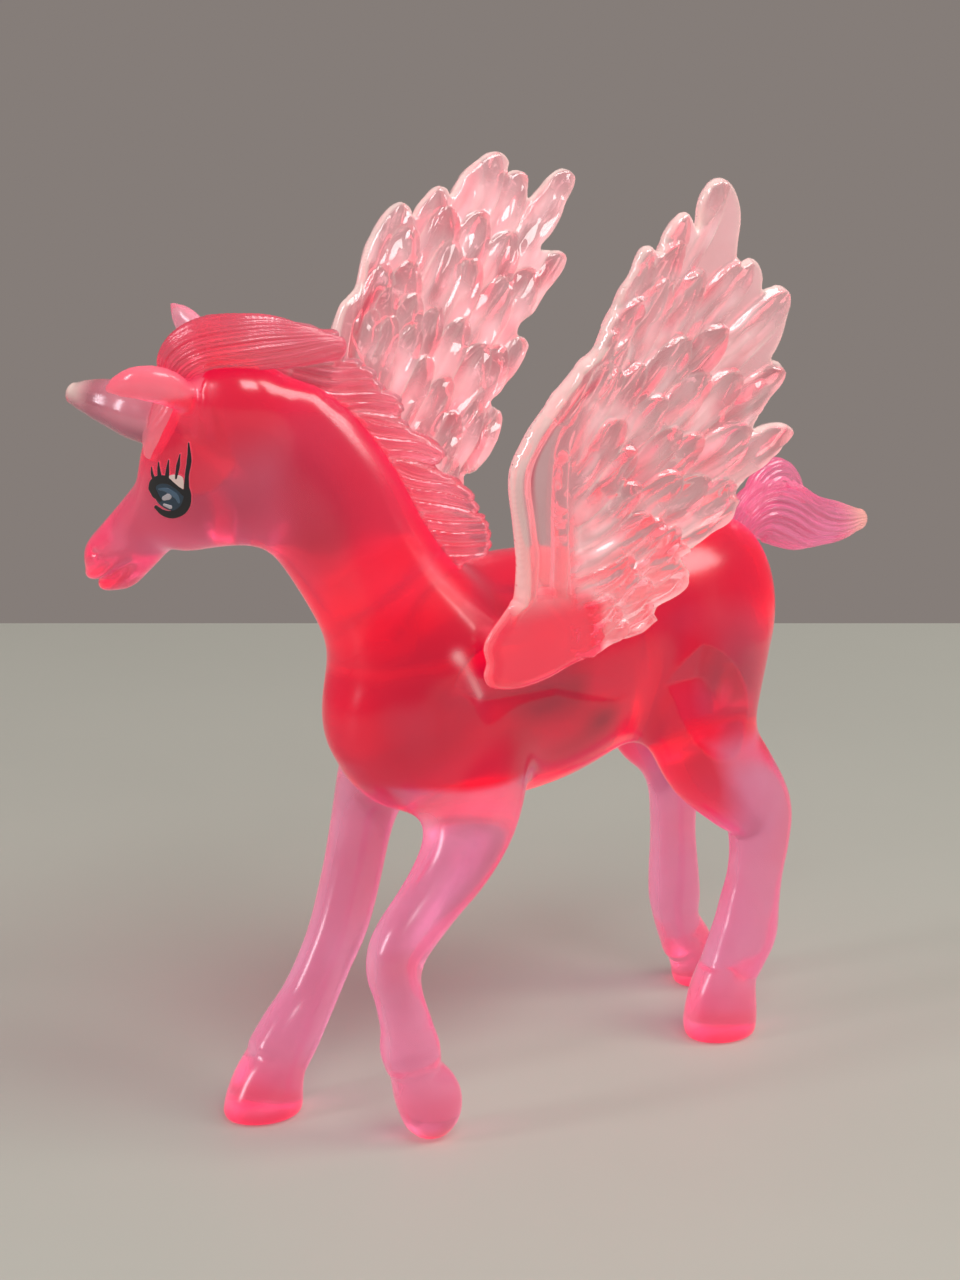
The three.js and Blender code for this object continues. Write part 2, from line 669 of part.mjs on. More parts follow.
const pieces = {
  body,
  mane: mane(0),
  tail: tail(0),
  horn: horn(),
  eye_left: skin.intersect(eyePlug('left', eyeInnerReach, eyeRadius)),
  eye_right: skin.intersect(eyePlug('right', eyeInnerReach, eyeRadius)),
  wing_left: wing('left'),
  wing_right: wing('right'),
};

const figure = new THREE.Group();
for (const [name, solid] of Object.entries(pieces)) {
  const [kind] = name.split('_');
  const material = new THREE.MeshStandardMaterial({ metalness: 0, ...finish[kind] });
  const mesh = new THREE.Mesh(geometryOf(solid), material);
  mesh.name = name;
  figure.add(mesh);
}

// The figure is centred over the origin
const centre = new THREE.Box3().setFromObject(figure).getCenter(V(0, 0, 0));
figure.position.set(-centre.x, -centre.y, 0);
export default figure;
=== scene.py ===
# A toy winged unicorn foal of see-through fluorescent pink plastic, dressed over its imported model.
# Shapes are worked out in millimetres in the foal's own frame, which faces -Y with its left at +X,
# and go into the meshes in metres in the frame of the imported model.
import json
import math
import bpy
import numpy as np
from mathutils import Matrix, Vector
from mathutils.bvhtree import BVHTree


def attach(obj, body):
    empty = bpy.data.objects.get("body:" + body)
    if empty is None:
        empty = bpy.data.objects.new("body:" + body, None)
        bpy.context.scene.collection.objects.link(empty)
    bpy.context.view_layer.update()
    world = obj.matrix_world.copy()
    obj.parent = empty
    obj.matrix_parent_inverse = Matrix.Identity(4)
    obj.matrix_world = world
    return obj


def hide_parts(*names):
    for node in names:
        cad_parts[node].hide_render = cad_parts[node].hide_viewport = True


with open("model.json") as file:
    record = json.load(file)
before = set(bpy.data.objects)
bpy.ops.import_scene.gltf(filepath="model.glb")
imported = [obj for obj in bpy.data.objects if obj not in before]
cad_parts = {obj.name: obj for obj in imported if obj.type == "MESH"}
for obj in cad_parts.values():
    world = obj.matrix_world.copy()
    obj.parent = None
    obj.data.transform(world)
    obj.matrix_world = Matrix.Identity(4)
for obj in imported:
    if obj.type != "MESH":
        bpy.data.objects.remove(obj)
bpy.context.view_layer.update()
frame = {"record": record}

MM = 0.001
swivels = [Vector(j["pos_m"]) for j in frame["record"]["behaviour"]["joints"]]
SHIFT = np.array([(swivels[0].x + swivels[1].x) / 2, swivels[0].y, 0.0])
FILL_VOXEL = 0.8
SKIN_VOXEL = 0.27
WING_STEP = 0.16
MANE_STEP = 0.14
EYE_STEP = 0.05

# The foal in numbers. A slice is square to its limb, or level in a hoof.
# Slices of the trunk: y, z, half width, half depth
TRUNK = [
    [-14, 43.2, 5, 7.2], [-10.5, 42.2, 6.8, 10.2], [-5, 42, 7.8, 11.9], [1, 42.2, 8, 12.2],
    [8, 42.2, 7.8, 11.9], [15, 42.9, 7.3, 10.8], [21, 43.6, 7, 10], [27, 44, 7.2, 10.2],
    [31.6, 43.8, 6.6, 9.7]
]
# Slices of the neck, forward from NECK_Y: forward, z, half width, half depth
NECK_Y = -9.8
NECK = [
    [-3.9, 43.8, 7, 9.2], [-1, 48.6, 6.4, 8], [1.5, 52.6, 5.6, 7], [4, 56.8, 4.9, 6.9], [6.5, 61, 4.6, 7.3],
    [9.8, 64.9, 4.5, 7.7]
]
# Slices of the skull and muzzle in the axes of the head: forward, up, half width, half depth
HEAD = [
    [-1.5, 0, 4.4, 6.3], [2, -1.5, 4.8, 6], [4.7, -4.6, 4.5, 5.2], [7.1, -7.2, 3.7, 3.75],
    [9.6, -9.6, 3, 3.35], [12, -12, 2.75, 3.25], [14.2, -14.2, 2.7, 3.2]
]
# Slices of the cheeks, then of the ears: forward, left, up, half width, half depth
CHEEK = [
    [-7.6, -2.9, -2.2, 3.6, 7.4], [-3.6, -1.3, -2.2, 4.5, 8.5], [1, 0, -3.9, 4.8, 7.7],
    [4.6, 0, -6.6, 4.4, 5.6], [7.2, 0, -8.9, 3.5, 4.1]
]
EARS = {"left": [
    [1.4, 2.6, 5, 1.2, 1], [3.2, 3.6, 7, 1.75, 1.25], [5.4, 4.3, 7.6, 1.65, 1.2],
    [7.4, 4.6, 7.3, 1.1, 0.85], [8.7, 4.7, 6.9, 0.35, 0.35]
], "right": [
    [0.8, -2.6, 5, 1.4, 1.2], [2.6, -3.6, 7.6, 1.9, 1.3], [4.2, -4.4, 9.1, 1.7, 1.1],
    [5.4, -4.8, 10.3, 1.1, 0.8], [6.1, -5, 11, 0.3, 0.3]
]}
# Slices of the legs, then of the hooves: x, y, z, half width, half depth
LEGS = {"frontLeft": [
    [4.6, -4.2, 40, 3.6, 6.8], [6.2, -5.9, 32.2, 3.8, 5.2], [6.9, -8.4, 27.8, 3.5, 3.9],
    [7, -12, 24.2, 3, 3.1], [7, -15.5, 20.8, 2.8, 2.9], [7, -16.4, 18.2, 2.7, 2.6],
    [7, -15.9, 15.6, 2.4, 2.3], [7, -15, 12.4, 2.5, 2.5], [7, -14.6, 10.2, 2.8, 2.9],
    [7, -14.2, 8.6, 2.7, 2.8]
], "frontRight": [
    [-4.6, -5.4, 40, 3.6, 6.2], [-6.8, -7.4, 33, 3.5, 4], [-7.8, -8.4, 28, 3.1, 3.2],
    [-8, -9.6, 22.8, 2.9, 3], [-8, -11.2, 17.8, 2.8, 2.9], [-8, -13.2, 14, 2.6, 2.7],
    [-8, -15.3, 10.6, 2.7, 2.8], [-8, -17.3, 8, 2.9, 3.2], [-8, -19, 5.8, 3, 3.3]
], "hindLeft": [
    [4.4, 27, 43, 4.2, 7.2], [5.5, 24.4, 36.6, 4.2, 7], [6, 24.9, 31.6, 3.8, 5.9],
    [6.2, 28.8, 27.2, 3.3, 5], [6.2, 31.8, 23.8, 3, 4.1], [6.2, 32.2, 20.4, 2.8, 3.4],
    [6.1, 31.8, 16.8, 2.6, 3.1], [6, 31.2, 13.6, 2.8, 3.4], [6, 30.6, 10.8, 3, 3.7],
    [5.8, 29.6, 8.6, 3, 3.5], [5.7, 28.7, 7, 3, 3.2]
], "hindRight": [
    [-4.4, 28.4, 43, 4, 7], [-5.2, 28, 36.6, 4, 7], [-5.9, 28.2, 31.4, 3.5, 5.4],
    [-6.3, 30.6, 27.2, 2.8, 3.7], [-6.5, 31.9, 23.6, 2.5, 2.9], [-6.5, 32, 18.4, 2.4, 2.4],
    [-6.5, 32.2, 13.6, 2.6, 2.7], [-6.5, 32.4, 10.8, 2.6, 2.8], [-6.5, 32.8, 8, 2.4, 2.4],
    [-6.5, 34.2, 5.2, 2.6, 2.7]
]}
HOOVES = {"frontRight": [
    [-8, -17.6, 7.6, 2.9, 3.2], [-8, -19.6, 5.2, 3.1, 3.5], [-8, -20.6, 2.8, 3.3, 3.9],
    [-8, -20.9, 0.9, 3.4, 4.1], [-8, -20.9, 0.1, 3.1, 3.8]
], "hindLeft": [
    [5.7, 28.6, 7.6, 2.9, 3.3], [5.7, 27.9, 5.4, 3.1, 3.7], [5.7, 27.6, 2.4, 3.4, 4.1],
    [5.7, 27.6, 0.9, 3.4, 4], [5.7, 27.7, 0.1, 3.1, 3.7]
], "hindRight": [
    [-6.5, 33.6, 6.6, 2.4, 2.6], [-6.5, 35.2, 4.4, 2.8, 3.1], [-6.5, 36.6, 2.2, 3.2, 3.6],
    [-6.5, 37, 0.9, 3.3, 3.7], [-6.5, 37, 0.1, 3, 3.4]
], "frontLeft": [
    [7, -13.9, 8, 2.4, 2.7], [7, -13, 6.4, 2.8, 3.2], [7, -12.4, 4.6, 3, 3.4], [7, -12.1, 2.8, 2.8, 3.1],
    [7, -12, 1.4, 2.2, 2.5], [7, -11.9, 0.3, 1.2, 1.4]
]}
# The locks of the mane, low ones first: the angle they are combed at, and the outline in the neck's plane
LOCKS = [(-3, [
    [1, 56.5], [2, 60.6], [7.4, 60.1], [8.3, 59.2], [8.6, 58], [8.6, 56.8], [8.1, 55.9], [6.6, 55.4],
    [4, 53.6]
]), (-17, [
    [-2, 61.6], [-0.5, 65.6], [2.9, 64.8], [4.3, 64], [5.6, 63.3], [6.6, 62.5], [7.1, 61.6], [7.5, 60.4],
    [6.6, 59.8], [2.4, 60], [1, 57.4]
]), (-14, [
    [-6, 66.6], [-4, 70], [0.3, 69], [1.5, 68], [2.9, 67.3], [3.9, 66.7], [4.4, 66], [4.2, 65.1],
    [2.9, 64.6], [-0.6, 65], [-2, 61.8]
]), (-4, [
    [-11, 70.8], [-10, 74.6], [-4.8, 74.9], [-3.1, 74.3], [-2.1, 73.5], [-1.5, 72.3], [-0.3, 71.6],
    [0.5, 70.5], [0.3, 69.2], [-0.6, 68.8], [-4, 69.4], [-6, 66.8]
]), (-7, [
    [-18.6, 73], [-18.2, 78], [-16.4, 78.9], [-12.2, 78.6], [-8.6, 78.1], [-7.2, 77.5], [-5.8, 77.4],
    [-5.1, 76.5], [-4.8, 75], [-5.4, 74.2], [-9.5, 73.6], [-11, 70.8], [-15, 71]
])]
# Slices of the forelock, as those of the ears, and of the brow lock, as those of the head
FORELOCK = [
    [-10.4, -4.8, 8, 0.7, 1.2], [-8, -3.2, 8.8, 1.4, 1.9], [-4.8, -1.6, 9.7, 2.2, 2.4],
    [-1.2, -0.3, 10.1, 2.7, 2.3], [1.4, 0.2, 9.5, 2.9, 2.3], [3.2, 0.4, 8.2, 2.6, 2],
    [4.1, 0.6, 6.7, 1.6, 1.1]
]
BROW_LOCK = [[3.4, 5, 1.5, 0.9], [4.6, 3.2, 1.7, 0.8], [5.6, 1.2, 1.5, 0.65], [6.2, -0.4, 0.9, 0.4]]
# Slices of the tail and of its upper lock, as those of the trunk
TAIL = [
    [33.4, 49.8, 1.2, 1.4], [35, 52, 1.7, 2.1], [37.2, 53, 2.2, 2.9], [40, 52.5, 2.4, 3.2],
    [43.2, 51.2, 2.3, 2.9], [46.2, 50.5, 2, 2.4], [49.2, 50.1, 1.5, 1.9], [51.6, 49.9, 0.9, 1.2]
]
TAIL_HUMP = [
    [35.6, 53.4, 0.9, 1.2], [37.4, 55.6, 1.3, 1.7], [39.4, 56.5, 1.4, 1.8], [41.2, 55.6, 1.2, 1.4],
    [42.8, 54, 0.6, 0.7]
]
# A wing in its own plate, to the rear and up from its pivot: its ribs, paddle and edge, and its feathers
ARM = {"left": [
    [-4.3, 2], [-4.4, 8.9], [-5, 11.4], [-5.9, 14.4], [-6.7, 17], [-6.9, 19], [-6.3, 21], [-4.9, 23.2],
    [-3.1, 25.2], [-1, 27.2], [0.8, 28.8]
], "right": [
    [-4.3, 2], [-4.6, 8], [-5.3, 13], [-5.9, 18], [-5.9, 22.5], [-5, 26.5], [-3.4, 29.4], [-1.6, 31],
    [-0.4, 32.6]
]}
INNER_RIB = [[0.4, 2], [-0.4, 9], [-1.6, 15.4], [-2, 20], [-1.4, 23]]
PADDLE = [
    [-5.4, 5.6], [-6.6, 4.1], [-7.7, 2.7], [-8.1, 1.3], [-7.5, -0.3], [-7.6, -1.6], [-6.5, -2.9],
    [-3.2, -3.6], [0.1, -3.3], [3.1, -2.4], [5.8, -1.6], [5.4, 1.5], [4.2, 4], [0.8, 6.2], [-3.6, 6.6]
]
EDGE = {"left": [
    [5.8, -1.6], [8.2, -1.1], [10.3, -0.9], [12, -0.3], [13.1, 0.4], [13.4, 1.8], [15.4, 2.4], [16.7, 3.3],
    [16.9, 4.7], [15.9, 6.2], [15, 6.8], [16.8, 7.3], [18.7, 8.2], [20.4, 9.3], [21.5, 10.2], [21.9, 11.5],
    [21.7, 12.6], [22.9, 13.7], [25.2, 14.9], [26.6, 16], [27.5, 17.2], [27.9, 18.1], [26.8, 18.8],
    [24.7, 19], [22.6, 18.9], [23.1, 20.2], [24, 21.8], [24.9, 23.1], [25.4, 24.4], [24.8, 25.3],
    [23.5, 25.9], [24, 26.9], [24.5, 28.3], [24.7, 29.9], [24.9, 31.3], [24.4, 32.5], [22.9, 33.3],
    [20.8, 33.1], [20.5, 34.5], [19.6, 35.9], [18.3, 36.5], [16.9, 36.2], [16.5, 37.9], [16.4, 40.3],
    [15.9, 42], [14.7, 43.8], [13.2, 44.7], [12, 44.5], [11.1, 43.5], [10.7, 42.2], [10.9, 40.7],
    [10.7, 40], [9.9, 41.4], [8.9, 41.9], [7.9, 41.3], [7.1, 39.9], [6.5, 38.4], [5.3, 39.1], [4.4, 38.9],
    [3.8, 37.7], [3.3, 36.4], [2.5, 35.2], [2.2, 33.7], [1.6, 32.7], [1, 31.3], [0.5, 30], [-0.2, 29.2],
    [-1.3, 28.6], [-2.3, 27.5], [-3.4, 26.3], [-4.4, 25.2], [-5.3, 24.1], [-6.3, 22.8], [-7, 21.4],
    [-7.6, 20.2], [-7.9, 19], [-7.8, 17.6], [-7.4, 16], [-6.7, 13.9], [-6, 11.4], [-5.4, 8.9], [-5.1, 6.6],
    [-4.6, 2], [0, -2]
], "right": [
    [5.8, -1.6], [7.4, 2.6], [7.2, 6], [7.6, 9.2], [7.9, 11.6], [9.2, 11.8], [10.5, 12.5], [11.7, 13.4],
    [13, 15.1], [13.6, 16.5], [13.5, 17.5], [12.4, 18.4], [13.7, 19.1], [14.6, 19.9], [16, 20.8],
    [17.5, 22.3], [18.2, 23.4], [17.8, 24.3], [17, 24.8], [17.6, 25.7], [19.2, 26.4], [20.4, 27.4],
    [21.7, 28.5], [22.9, 29.3], [24.1, 30.4], [24.8, 31.6], [24.2, 32.4], [22.7, 32.6], [21.4, 33],
    [23.1, 34.2], [24.4, 35.5], [25.3, 36.9], [26.4, 38.1], [27.1, 39.5], [26.6, 40.3], [25.5, 40.6],
    [23.9, 40], [22.4, 38.9], [20.7, 38], [20.9, 39.5], [20.5, 40.6], [19.5, 41], [18.4, 40.8],
    [18.8, 41.9], [17.9, 42.9], [16.4, 43], [15.1, 42.5], [13.6, 41.7], [12.1, 40.6], [10.8, 39.3],
    [10.4, 40], [9.3, 40.3], [8, 39.7], [6.6, 38.7], [5.7, 37.7], [5.5, 38.6], [4.5, 39.2], [3.2, 38.8],
    [1.7, 37.7], [0.1, 35.9], [-1.1, 34.1], [-2, 31.9], [-3.2, 30.9], [-4.4, 30.1], [-5.5, 28.3],
    [-6.2, 26.4], [-6.8, 22.5], [-6.8, 18], [-6.2, 13], [-5.5, 8], [-4.8, 2], [0, -2]
]}
TIPS = {"left": [
    [4.9, 39.2], [8.9, 41.9], [13.2, 44.7], [18.3, 36.5], [24.4, 32.5], [25.4, 24.4], [27.9, 18.1],
    [21.9, 11.5], [16.9, 4.7], [13.2, 0.2]
], "right": [
    [4.5, 39.2], [9.3, 40.3], [17.2, 43], [20.2, 41], [27, 40.1], [24.7, 31.9], [18.1, 23.6], [13.5, 17.1],
    [9.4, 11.8], [7, 4.6]
]}
ROOTS = [[-3.2, 24.4], [3, 0.6]]
# The flank that is kept clear of a wing, in the wing's plate
LAND = [[-14, -1], [-6, -4.8], [3, -5.2], [11, -8], [22, -8], [22, 16], [-14, 16]]
# Slices of the horn: forward, up, radius
CONE = [
    [6.4, 1.9, 2.9], [8.5, 2.3, 2.85], [11, 2.8, 2.4], [13.4, 3.25, 1.8], [14.7, 3.4, 1.35], [15.4, 3.5, 1.05]
]
# Half the thickness of a wing's web, how far it may stand out to either side, and the radii of its two ribs
WEB, FRONT_MOST, BACK_MOST, RIBS = 0.42, 1.4, 0.84, (1.05, 0.8)
# The widths of the mane's coarse and fine strands, and how far it may stand out to the left and the right
STRAND, FINE_STRAND, LEFT_MOST, RIGHT_MOST = 1.05, 0.42, 1.1, 1.05
PIVOT = np.array([10.0, 0.0, 47.4])
LEAN = math.radians(11)
SIGN = {"left": 1.0, "right": -1.0}
# Swells under the skin as centre and radii: two of the chest, then shoulder and haunch, then the crown
CHEST = [[0, -10.4, 46.5], [6.6, 6.2, 7.2]], [[0, -9.4, 41.6], [8, 7.4, 10.6]]
FLANKS = [[5, -6.4, 38.6], [3.6, 6.2, 9.2]], [[4.2, 25.6, 40.8], [4.2, 7, 9]]
CROWN = [-1.6, -0.3, 3.6], [5.6, 4.3, 5]
# The boss that carries a wing: its top and its depth along the axis, and its radii at the root and at the top
BOSS_TOP, BOSS_DEPTH, BOSS_ROOT, BOSS_TIP = -1.2, 5.0, 3.4, 3.1
# The slit of the mouth and the nostril: forward and up in the axes of the head
SLIT = [[17.2, -16.6], [15.2, -15.7], [14.1, -15.2], [13.3, -14.6], [12.2, -13.7], [11, -12.9]]
NOSTRIL = [15.0, -12.6]
# The painted glint on the near shoulder, a paler cream streak in place of a highlight, from its top to its
# foot
PAINTED_GLINT_START, PAINTED_GLINT_END = np.array([8.3, -9.6, 47.9]), np.array([8.1, -6.7, 43.5])
# The printed left eye in pixels of the photograph, which is 960 wide and 1280 high, about EYE_AT. A line is
# its pixels, its half widths in millimetres and the steps of its curve, or 0 for a straight one.
EYE_AT = (168, 494)
BLACK_LINES = (
    (((156, 507), (163, 512.5), (172, 514.5), (181, 511), (186, 504), (187.5, 494), (186, 485)),
     (0.18, 0.3, 0.38, 0.44, 0.44, 0.36, 0.22), 40),
    (((152, 488), (154, 482.5), (160, 479.5), (167, 480.5), (175, 486), (184, 493)),
     (0.36, 0.44, 0.42, 0.26, 0.2, 0.3), 40),
    (((152, 488), (155.5, 495), (160, 500)), (0.36, 0.34, 0.2), 0),
    (((154.5, 480), (152.2, 474), (151.6, 467)), (0.18, 0.13, 0.05), 12),
    (((160, 478), (158.8, 470), (158.6, 462)), (0.22, 0.16, 0.05), 12),
    (((167, 478), (167.6, 469), (168.6, 460)), (0.22, 0.16, 0.05), 12),
    (((176, 478), (178, 466), (180, 454)), (0.12, 0.19, 0.05), 12),
    (((186.5, 494), (186.8, 476), (189.2, 460), (188.6, 443)), (0.3, 0.2, 0.24, 0.07), 12))
SLATE_LINE = ((159.5, 489), (167, 490), (176, 496), (179, 502)), (0.12, 0.24, 0.28, 0.14), 20
GLINT_LINES = ((((164.5, 498), (168.5, 496.5)), (0.24, 0.32), 0),
               (((164.5, 504.5), (170.5, 507)), (0.14, 0.2), 0))
IRIS = ((154, 487), (160, 482), (168, 484), (177, 489), (185, 496), (184, 507), (174, 511), (164, 508),
        (156, 500), (154, 487))
WHITE = ((164.5, 479.5), (169, 475.5), (176, 474.5), (182.5, 477), (184, 484), (182.5, 490), (175, 484),
         (169, 481.5), (164.5, 479.5))
# The camera: its bearing and height in degrees, its distance and the height it looks at, in millimetres,
# its focal length and the middle of its picture in pixels, and how many pixels a millimetre of the head takes
CAM_AZ, CAM_EL, CAM_FAR, CAM_AIM = math.radians(50.0), math.radians(15.6), 330.0, 46.0
FOCAL_PX, MIDDLE_PX, HEAD_PX = 3432, (480, 640), 10.4
CAM_LEVEL = np.array([math.sin(CAM_AZ), -math.cos(CAM_AZ), 0.0])
CAM_BACK = CAM_LEVEL * math.cos(CAM_EL) + np.array([0.0, 0.0, math.sin(CAM_EL)])
CAM_RIGHT = np.array([math.cos(CAM_AZ), math.sin(CAM_AZ), 0.0])
CAM_UP = np.cross(CAM_BACK, CAM_RIGHT)
# The corners of the floor: towards the camera and to its right, in metres
FLOOR = (-0.174, -0.75), (-0.174, 0.75), (1.3, 0.75), (1.3, -0.75)

X, Y, Z = np.eye(3)


def unit(v):
    v = np.asarray(v, float)
    return v / np.linalg.norm(v, axis=-1, keepdims=True)


# Frames
def turned(degrees):
    a = math.radians(degrees)
    return np.array([-math.sin(a), -math.cos(a), 0.0]), np.array([math.cos(a), -math.sin(a), 0.0])


NECK_FORWARD, NECK_LEFT = turned(40)
HEAD_FORWARD, level_left = turned(63)
HEAD_LEFT = np.array(Matrix.Rotation(-math.radians(16), 3, Vector(HEAD_FORWARD)) @ Vector(level_left))
HEAD_UP = np.cross(HEAD_FORWARD, HEAD_LEFT)
HEAD_AXES = np.stack([HEAD_FORWARD, HEAD_LEFT, HEAD_UP], 1)


def neck_point(s, z):
    return np.array([0.0, NECK_Y, z]) + s * NECK_FORWARD


HEAD_AT = neck_point(16.1, 67.0)


def head_point(f, l, u):
    return HEAD_AT + f * HEAD_FORWARD + l * HEAD_LEFT + u * HEAD_UP


def head_rows(rows):
    return [[*head_point(f, l, u), w, d] for f, l, u, w, d in rows]


def in_head(v):
    """The points in the axes of the head: forward, left, up."""
    return (v - HEAD_AT) @ HEAD_AXES


# Mesh tools
def spline(rows, n):
    """n rows along a smooth curve through the given rows."""
    p = np.asarray(rows, float)
    t = np.linspace(0, len(p) - 1, n)
    i = np.minimum(t.astype(int), len(p) - 2)
    f = (t - i)[:, None]
    e = np.vstack([2 * p[0] - p[1], p, 2 * p[-1] - p[-2]])
    a, b, c, d = e[i], e[i + 1], e[i + 2], e[i + 3]
    return 0.5 * (2 * b + (c - a) * f + (2 * a - 5 * b + 4 * c - d) * f ** 2
                  + (3 * b - a - 3 * c + d) * f ** 3)


def loft(rows, across, n=60, sides=56, start=0.0, end=0.0, level=False, carve=None):
    """A closed tube through rows of centre, half width and half depth, its ends rounded out by start and end.
    carve(along, around) scales its radius."""
    q = spline(rows, n)
    c, w, d = q[:, :3], q[:, 3], q[:, 4]
    t = unit(np.gradient(c, axis=0))
    if level:
        t[:] = -Z
    s = np.linspace(0, 1, n)
    dome = np.radians(np.arange(10, 90, 10))
    if start:
        a = dome[::-1]
        c = np.vstack([c[0] - t[0] * start * np.sin(a)[:, None], c])
        w, d = np.r_[w[0] * np.cos(a), w], np.r_[d[0] * np.cos(a), d]
        t, s = np.vstack([np.repeat(t[:1], len(a), 0), t]), np.r_[np.zeros(len(a)), s]
    if end:
        c = np.vstack([c, c[-1] + t[-1] * end * np.sin(dome)[:, None]])
        w, d = np.r_[w, w[-1] * np.cos(dome)], np.r_[d, d[-1] * np.cos(dome)]
        t, s = np.vstack([t, np.repeat(t[-1:], len(dome), 0)]), np.r_[s, np.ones(len(dome))]
    side = unit(across - (t @ across)[:, None] * t)
    up = np.cross(t, side)
    m = len(c)
    around = np.linspace(0, 2 * np.pi, sides, endpoint=False)
    k = np.ones((m, sides)) if carve is None else carve(s[:, None], around[None, :])
    ring = (side[:, None] * (w[:, None] * np.cos(around))[..., None]
            + up[:, None] * (d[:, None] * np.sin(around))[..., None])
    v = (c[:, None] + ring * k[..., None]).reshape(-1, 3)
    v = np.vstack([v, c[0] - t[0] * start * (1 - np.sin(dome[-1])) if start else c[0],
                   c[-1] + t[-1] * end * (1 - np.sin(dome[-1])) if end else c[-1]])
    j = np.arange(sides)
    nj = (j + 1) % sides
    quads = np.concatenate([np.stack([r + j, r + nj, r + sides + nj, r + sides + j], 1)
                            for r in range(0, (m - 1) * sides, sides)])
    top, base, last = m * sides, m * sides + 1, (m - 1) * sides
    caps = [(top, b, a) for a, b in zip(j, nj)] + [(base, last + a, last + b) for a, b in zip(j, nj)]
    return v, quads.tolist() + caps


def ball(centre, radii, axes=(X, Y, Z), n=24):
    """An ellipsoid as a closed mesh."""
    a = np.array(axes)
    rows = [[*(np.asarray(centre) + a[2] * radii[2] * math.sin(t)), *(np.array(radii[:2]) * math.cos(t))]
            for t in np.linspace(-1.45, 1.45, n)]
    return loft(rows, a[0], n=n, sides=36)


def together(parts):
    verts, faces, base = [], [], 0
    for v, f in parts:
        verts.append(v)
        faces += [[i + base for i in face] for face in f]
        base += len(v)
    return np.vstack(verts), faces


def mesh_of(name, v, f):
    me = bpy.data.meshes.new(name)
    me.from_pydata(v.tolist(), [], f if isinstance(f, list) else f.tolist())
    me.validate()
    return me


def placed(name, data):
    o = bpy.data.objects.new(name, data)
    bpy.context.scene.collection.objects.link(o)
    return o


def remesh(parts, voxel):
    """One closed skin round overlapping closed parts, as (points, quads)."""
    v, f = together(parts)
    o = placed("raw", mesh_of("raw", v, f))
    m = o.modifiers.new("skin", "REMESH")
    m.mode = "VOXEL"
    m.voxel_size = voxel
    made = bpy.data.meshes.new_from_object(o.evaluated_get(bpy.context.evaluated_depsgraph_get()))
    out = np.empty(len(made.vertices) * 3)
    made.vertices.foreach_get("co", out)
    loops = np.empty(len(made.loops), int)
    made.loops.foreach_get("vertex_index", loops)
    quads = loops.reshape(-1, 4)
    bpy.data.objects.remove(o)
    bpy.data.meshes.remove(made)
    return out.reshape(-1, 3), quads


def edges_of(f):
    e = np.concatenate([f[:, [i, (i + 1) % f.shape[1]]] for i in range(f.shape[1])])
    e.sort(axis=1)
    return np.unique(e, axis=0)


def averaged(values, e):
    """For each point the mean of its neighbours."""
    n = len(values)
    count = np.bincount(e.ravel(), minlength=n)
    flat = values.reshape(n, -1)
    total = np.stack([np.bincount(e[:, 0], flat[e[:, 1], k], n) + np.bincount(e[:, 1], flat[e[:, 0], k], n)
                      for k in range(flat.shape[1])], 1)
    return (total / count[:, None]).reshape(values.shape)


def relax(v, e, times, weight=0.5, keep=True):
    """Smooths; with keep it gives back the volume that smoothing takes."""
    w = np.asarray(weight)
    w = w[:, None] if w.ndim else w
    for _ in range(times):
        v = v + w * (averaged(v, e) - v)
        if keep:
            v = v - 1.04 * w * (averaged(v, e) - v)
    return v


def normals(v, f):
    a = v[f[:, 2]] - v[f[:, 0]]
    b = v[f[:, 3]] - v[f[:, 1]]
    fn = np.cross(a, b)
    n = np.zeros_like(v)
    for k in range(4):
        for c in range(3):
            n[:, c] += np.bincount(f[:, k], fn[:, c], len(v))
    return n / np.maximum(np.linalg.norm(n, axis=1, keepdims=True), 1e-12)


def soft(x, low, high):
    """0 below low, 1 above high, smooth between; low may be the greater."""
    t = np.clip((x - low) / (high - low), 0, 1)
    return t * t * (3 - 2 * t)


def faded(a, b, share):
    """a where share is 0, b where it is 1."""
    return a * (1 - share) + b * share


def bell(x, width):
    return np.exp(-(x / width) ** 2)


def near(p, centre, radii):
    """1 at the centre, falling to 0 about one radius away along each axis."""
    d = np.sum(((p - np.asarray(centre)) / np.asarray(radii)) ** 2, axis=-1)
    return np.exp(-1.4 * d ** 1.3)


def noise(p, seed):
    """Smooth value noise, -1 to 1, at points with any number of columns."""
    p = np.asarray(p, float)
    cell = np.floor(p).astype(np.int64)
    f = p - cell
    f = f * f * (3 - 2 * f)
    total = np.zeros(p.shape[:-1])
    dims = p.shape[-1]
    for corner in range(2 ** dims):
        bits = np.array([(corner >> d) & 1 for d in range(dims)])
        h = np.full(p.shape[:-1], seed * 374761393 + 668265263, np.int64)
        weight = np.ones(p.shape[:-1])
        for d in range(dims):
            h = (h ^ ((cell[..., d] + bits[d]) * 1274126177)) * 2246822519 & 0xFFFFFFFF
            h = h ^ (h >> 15)
            weight = weight * (f[..., d] if bits[d] else 1 - f[..., d])
        total += weight * (h / 2147483648.0 - 1)
    return total


def grain(a, b, seed):
    return noise(np.stack([a, b], -1), seed)


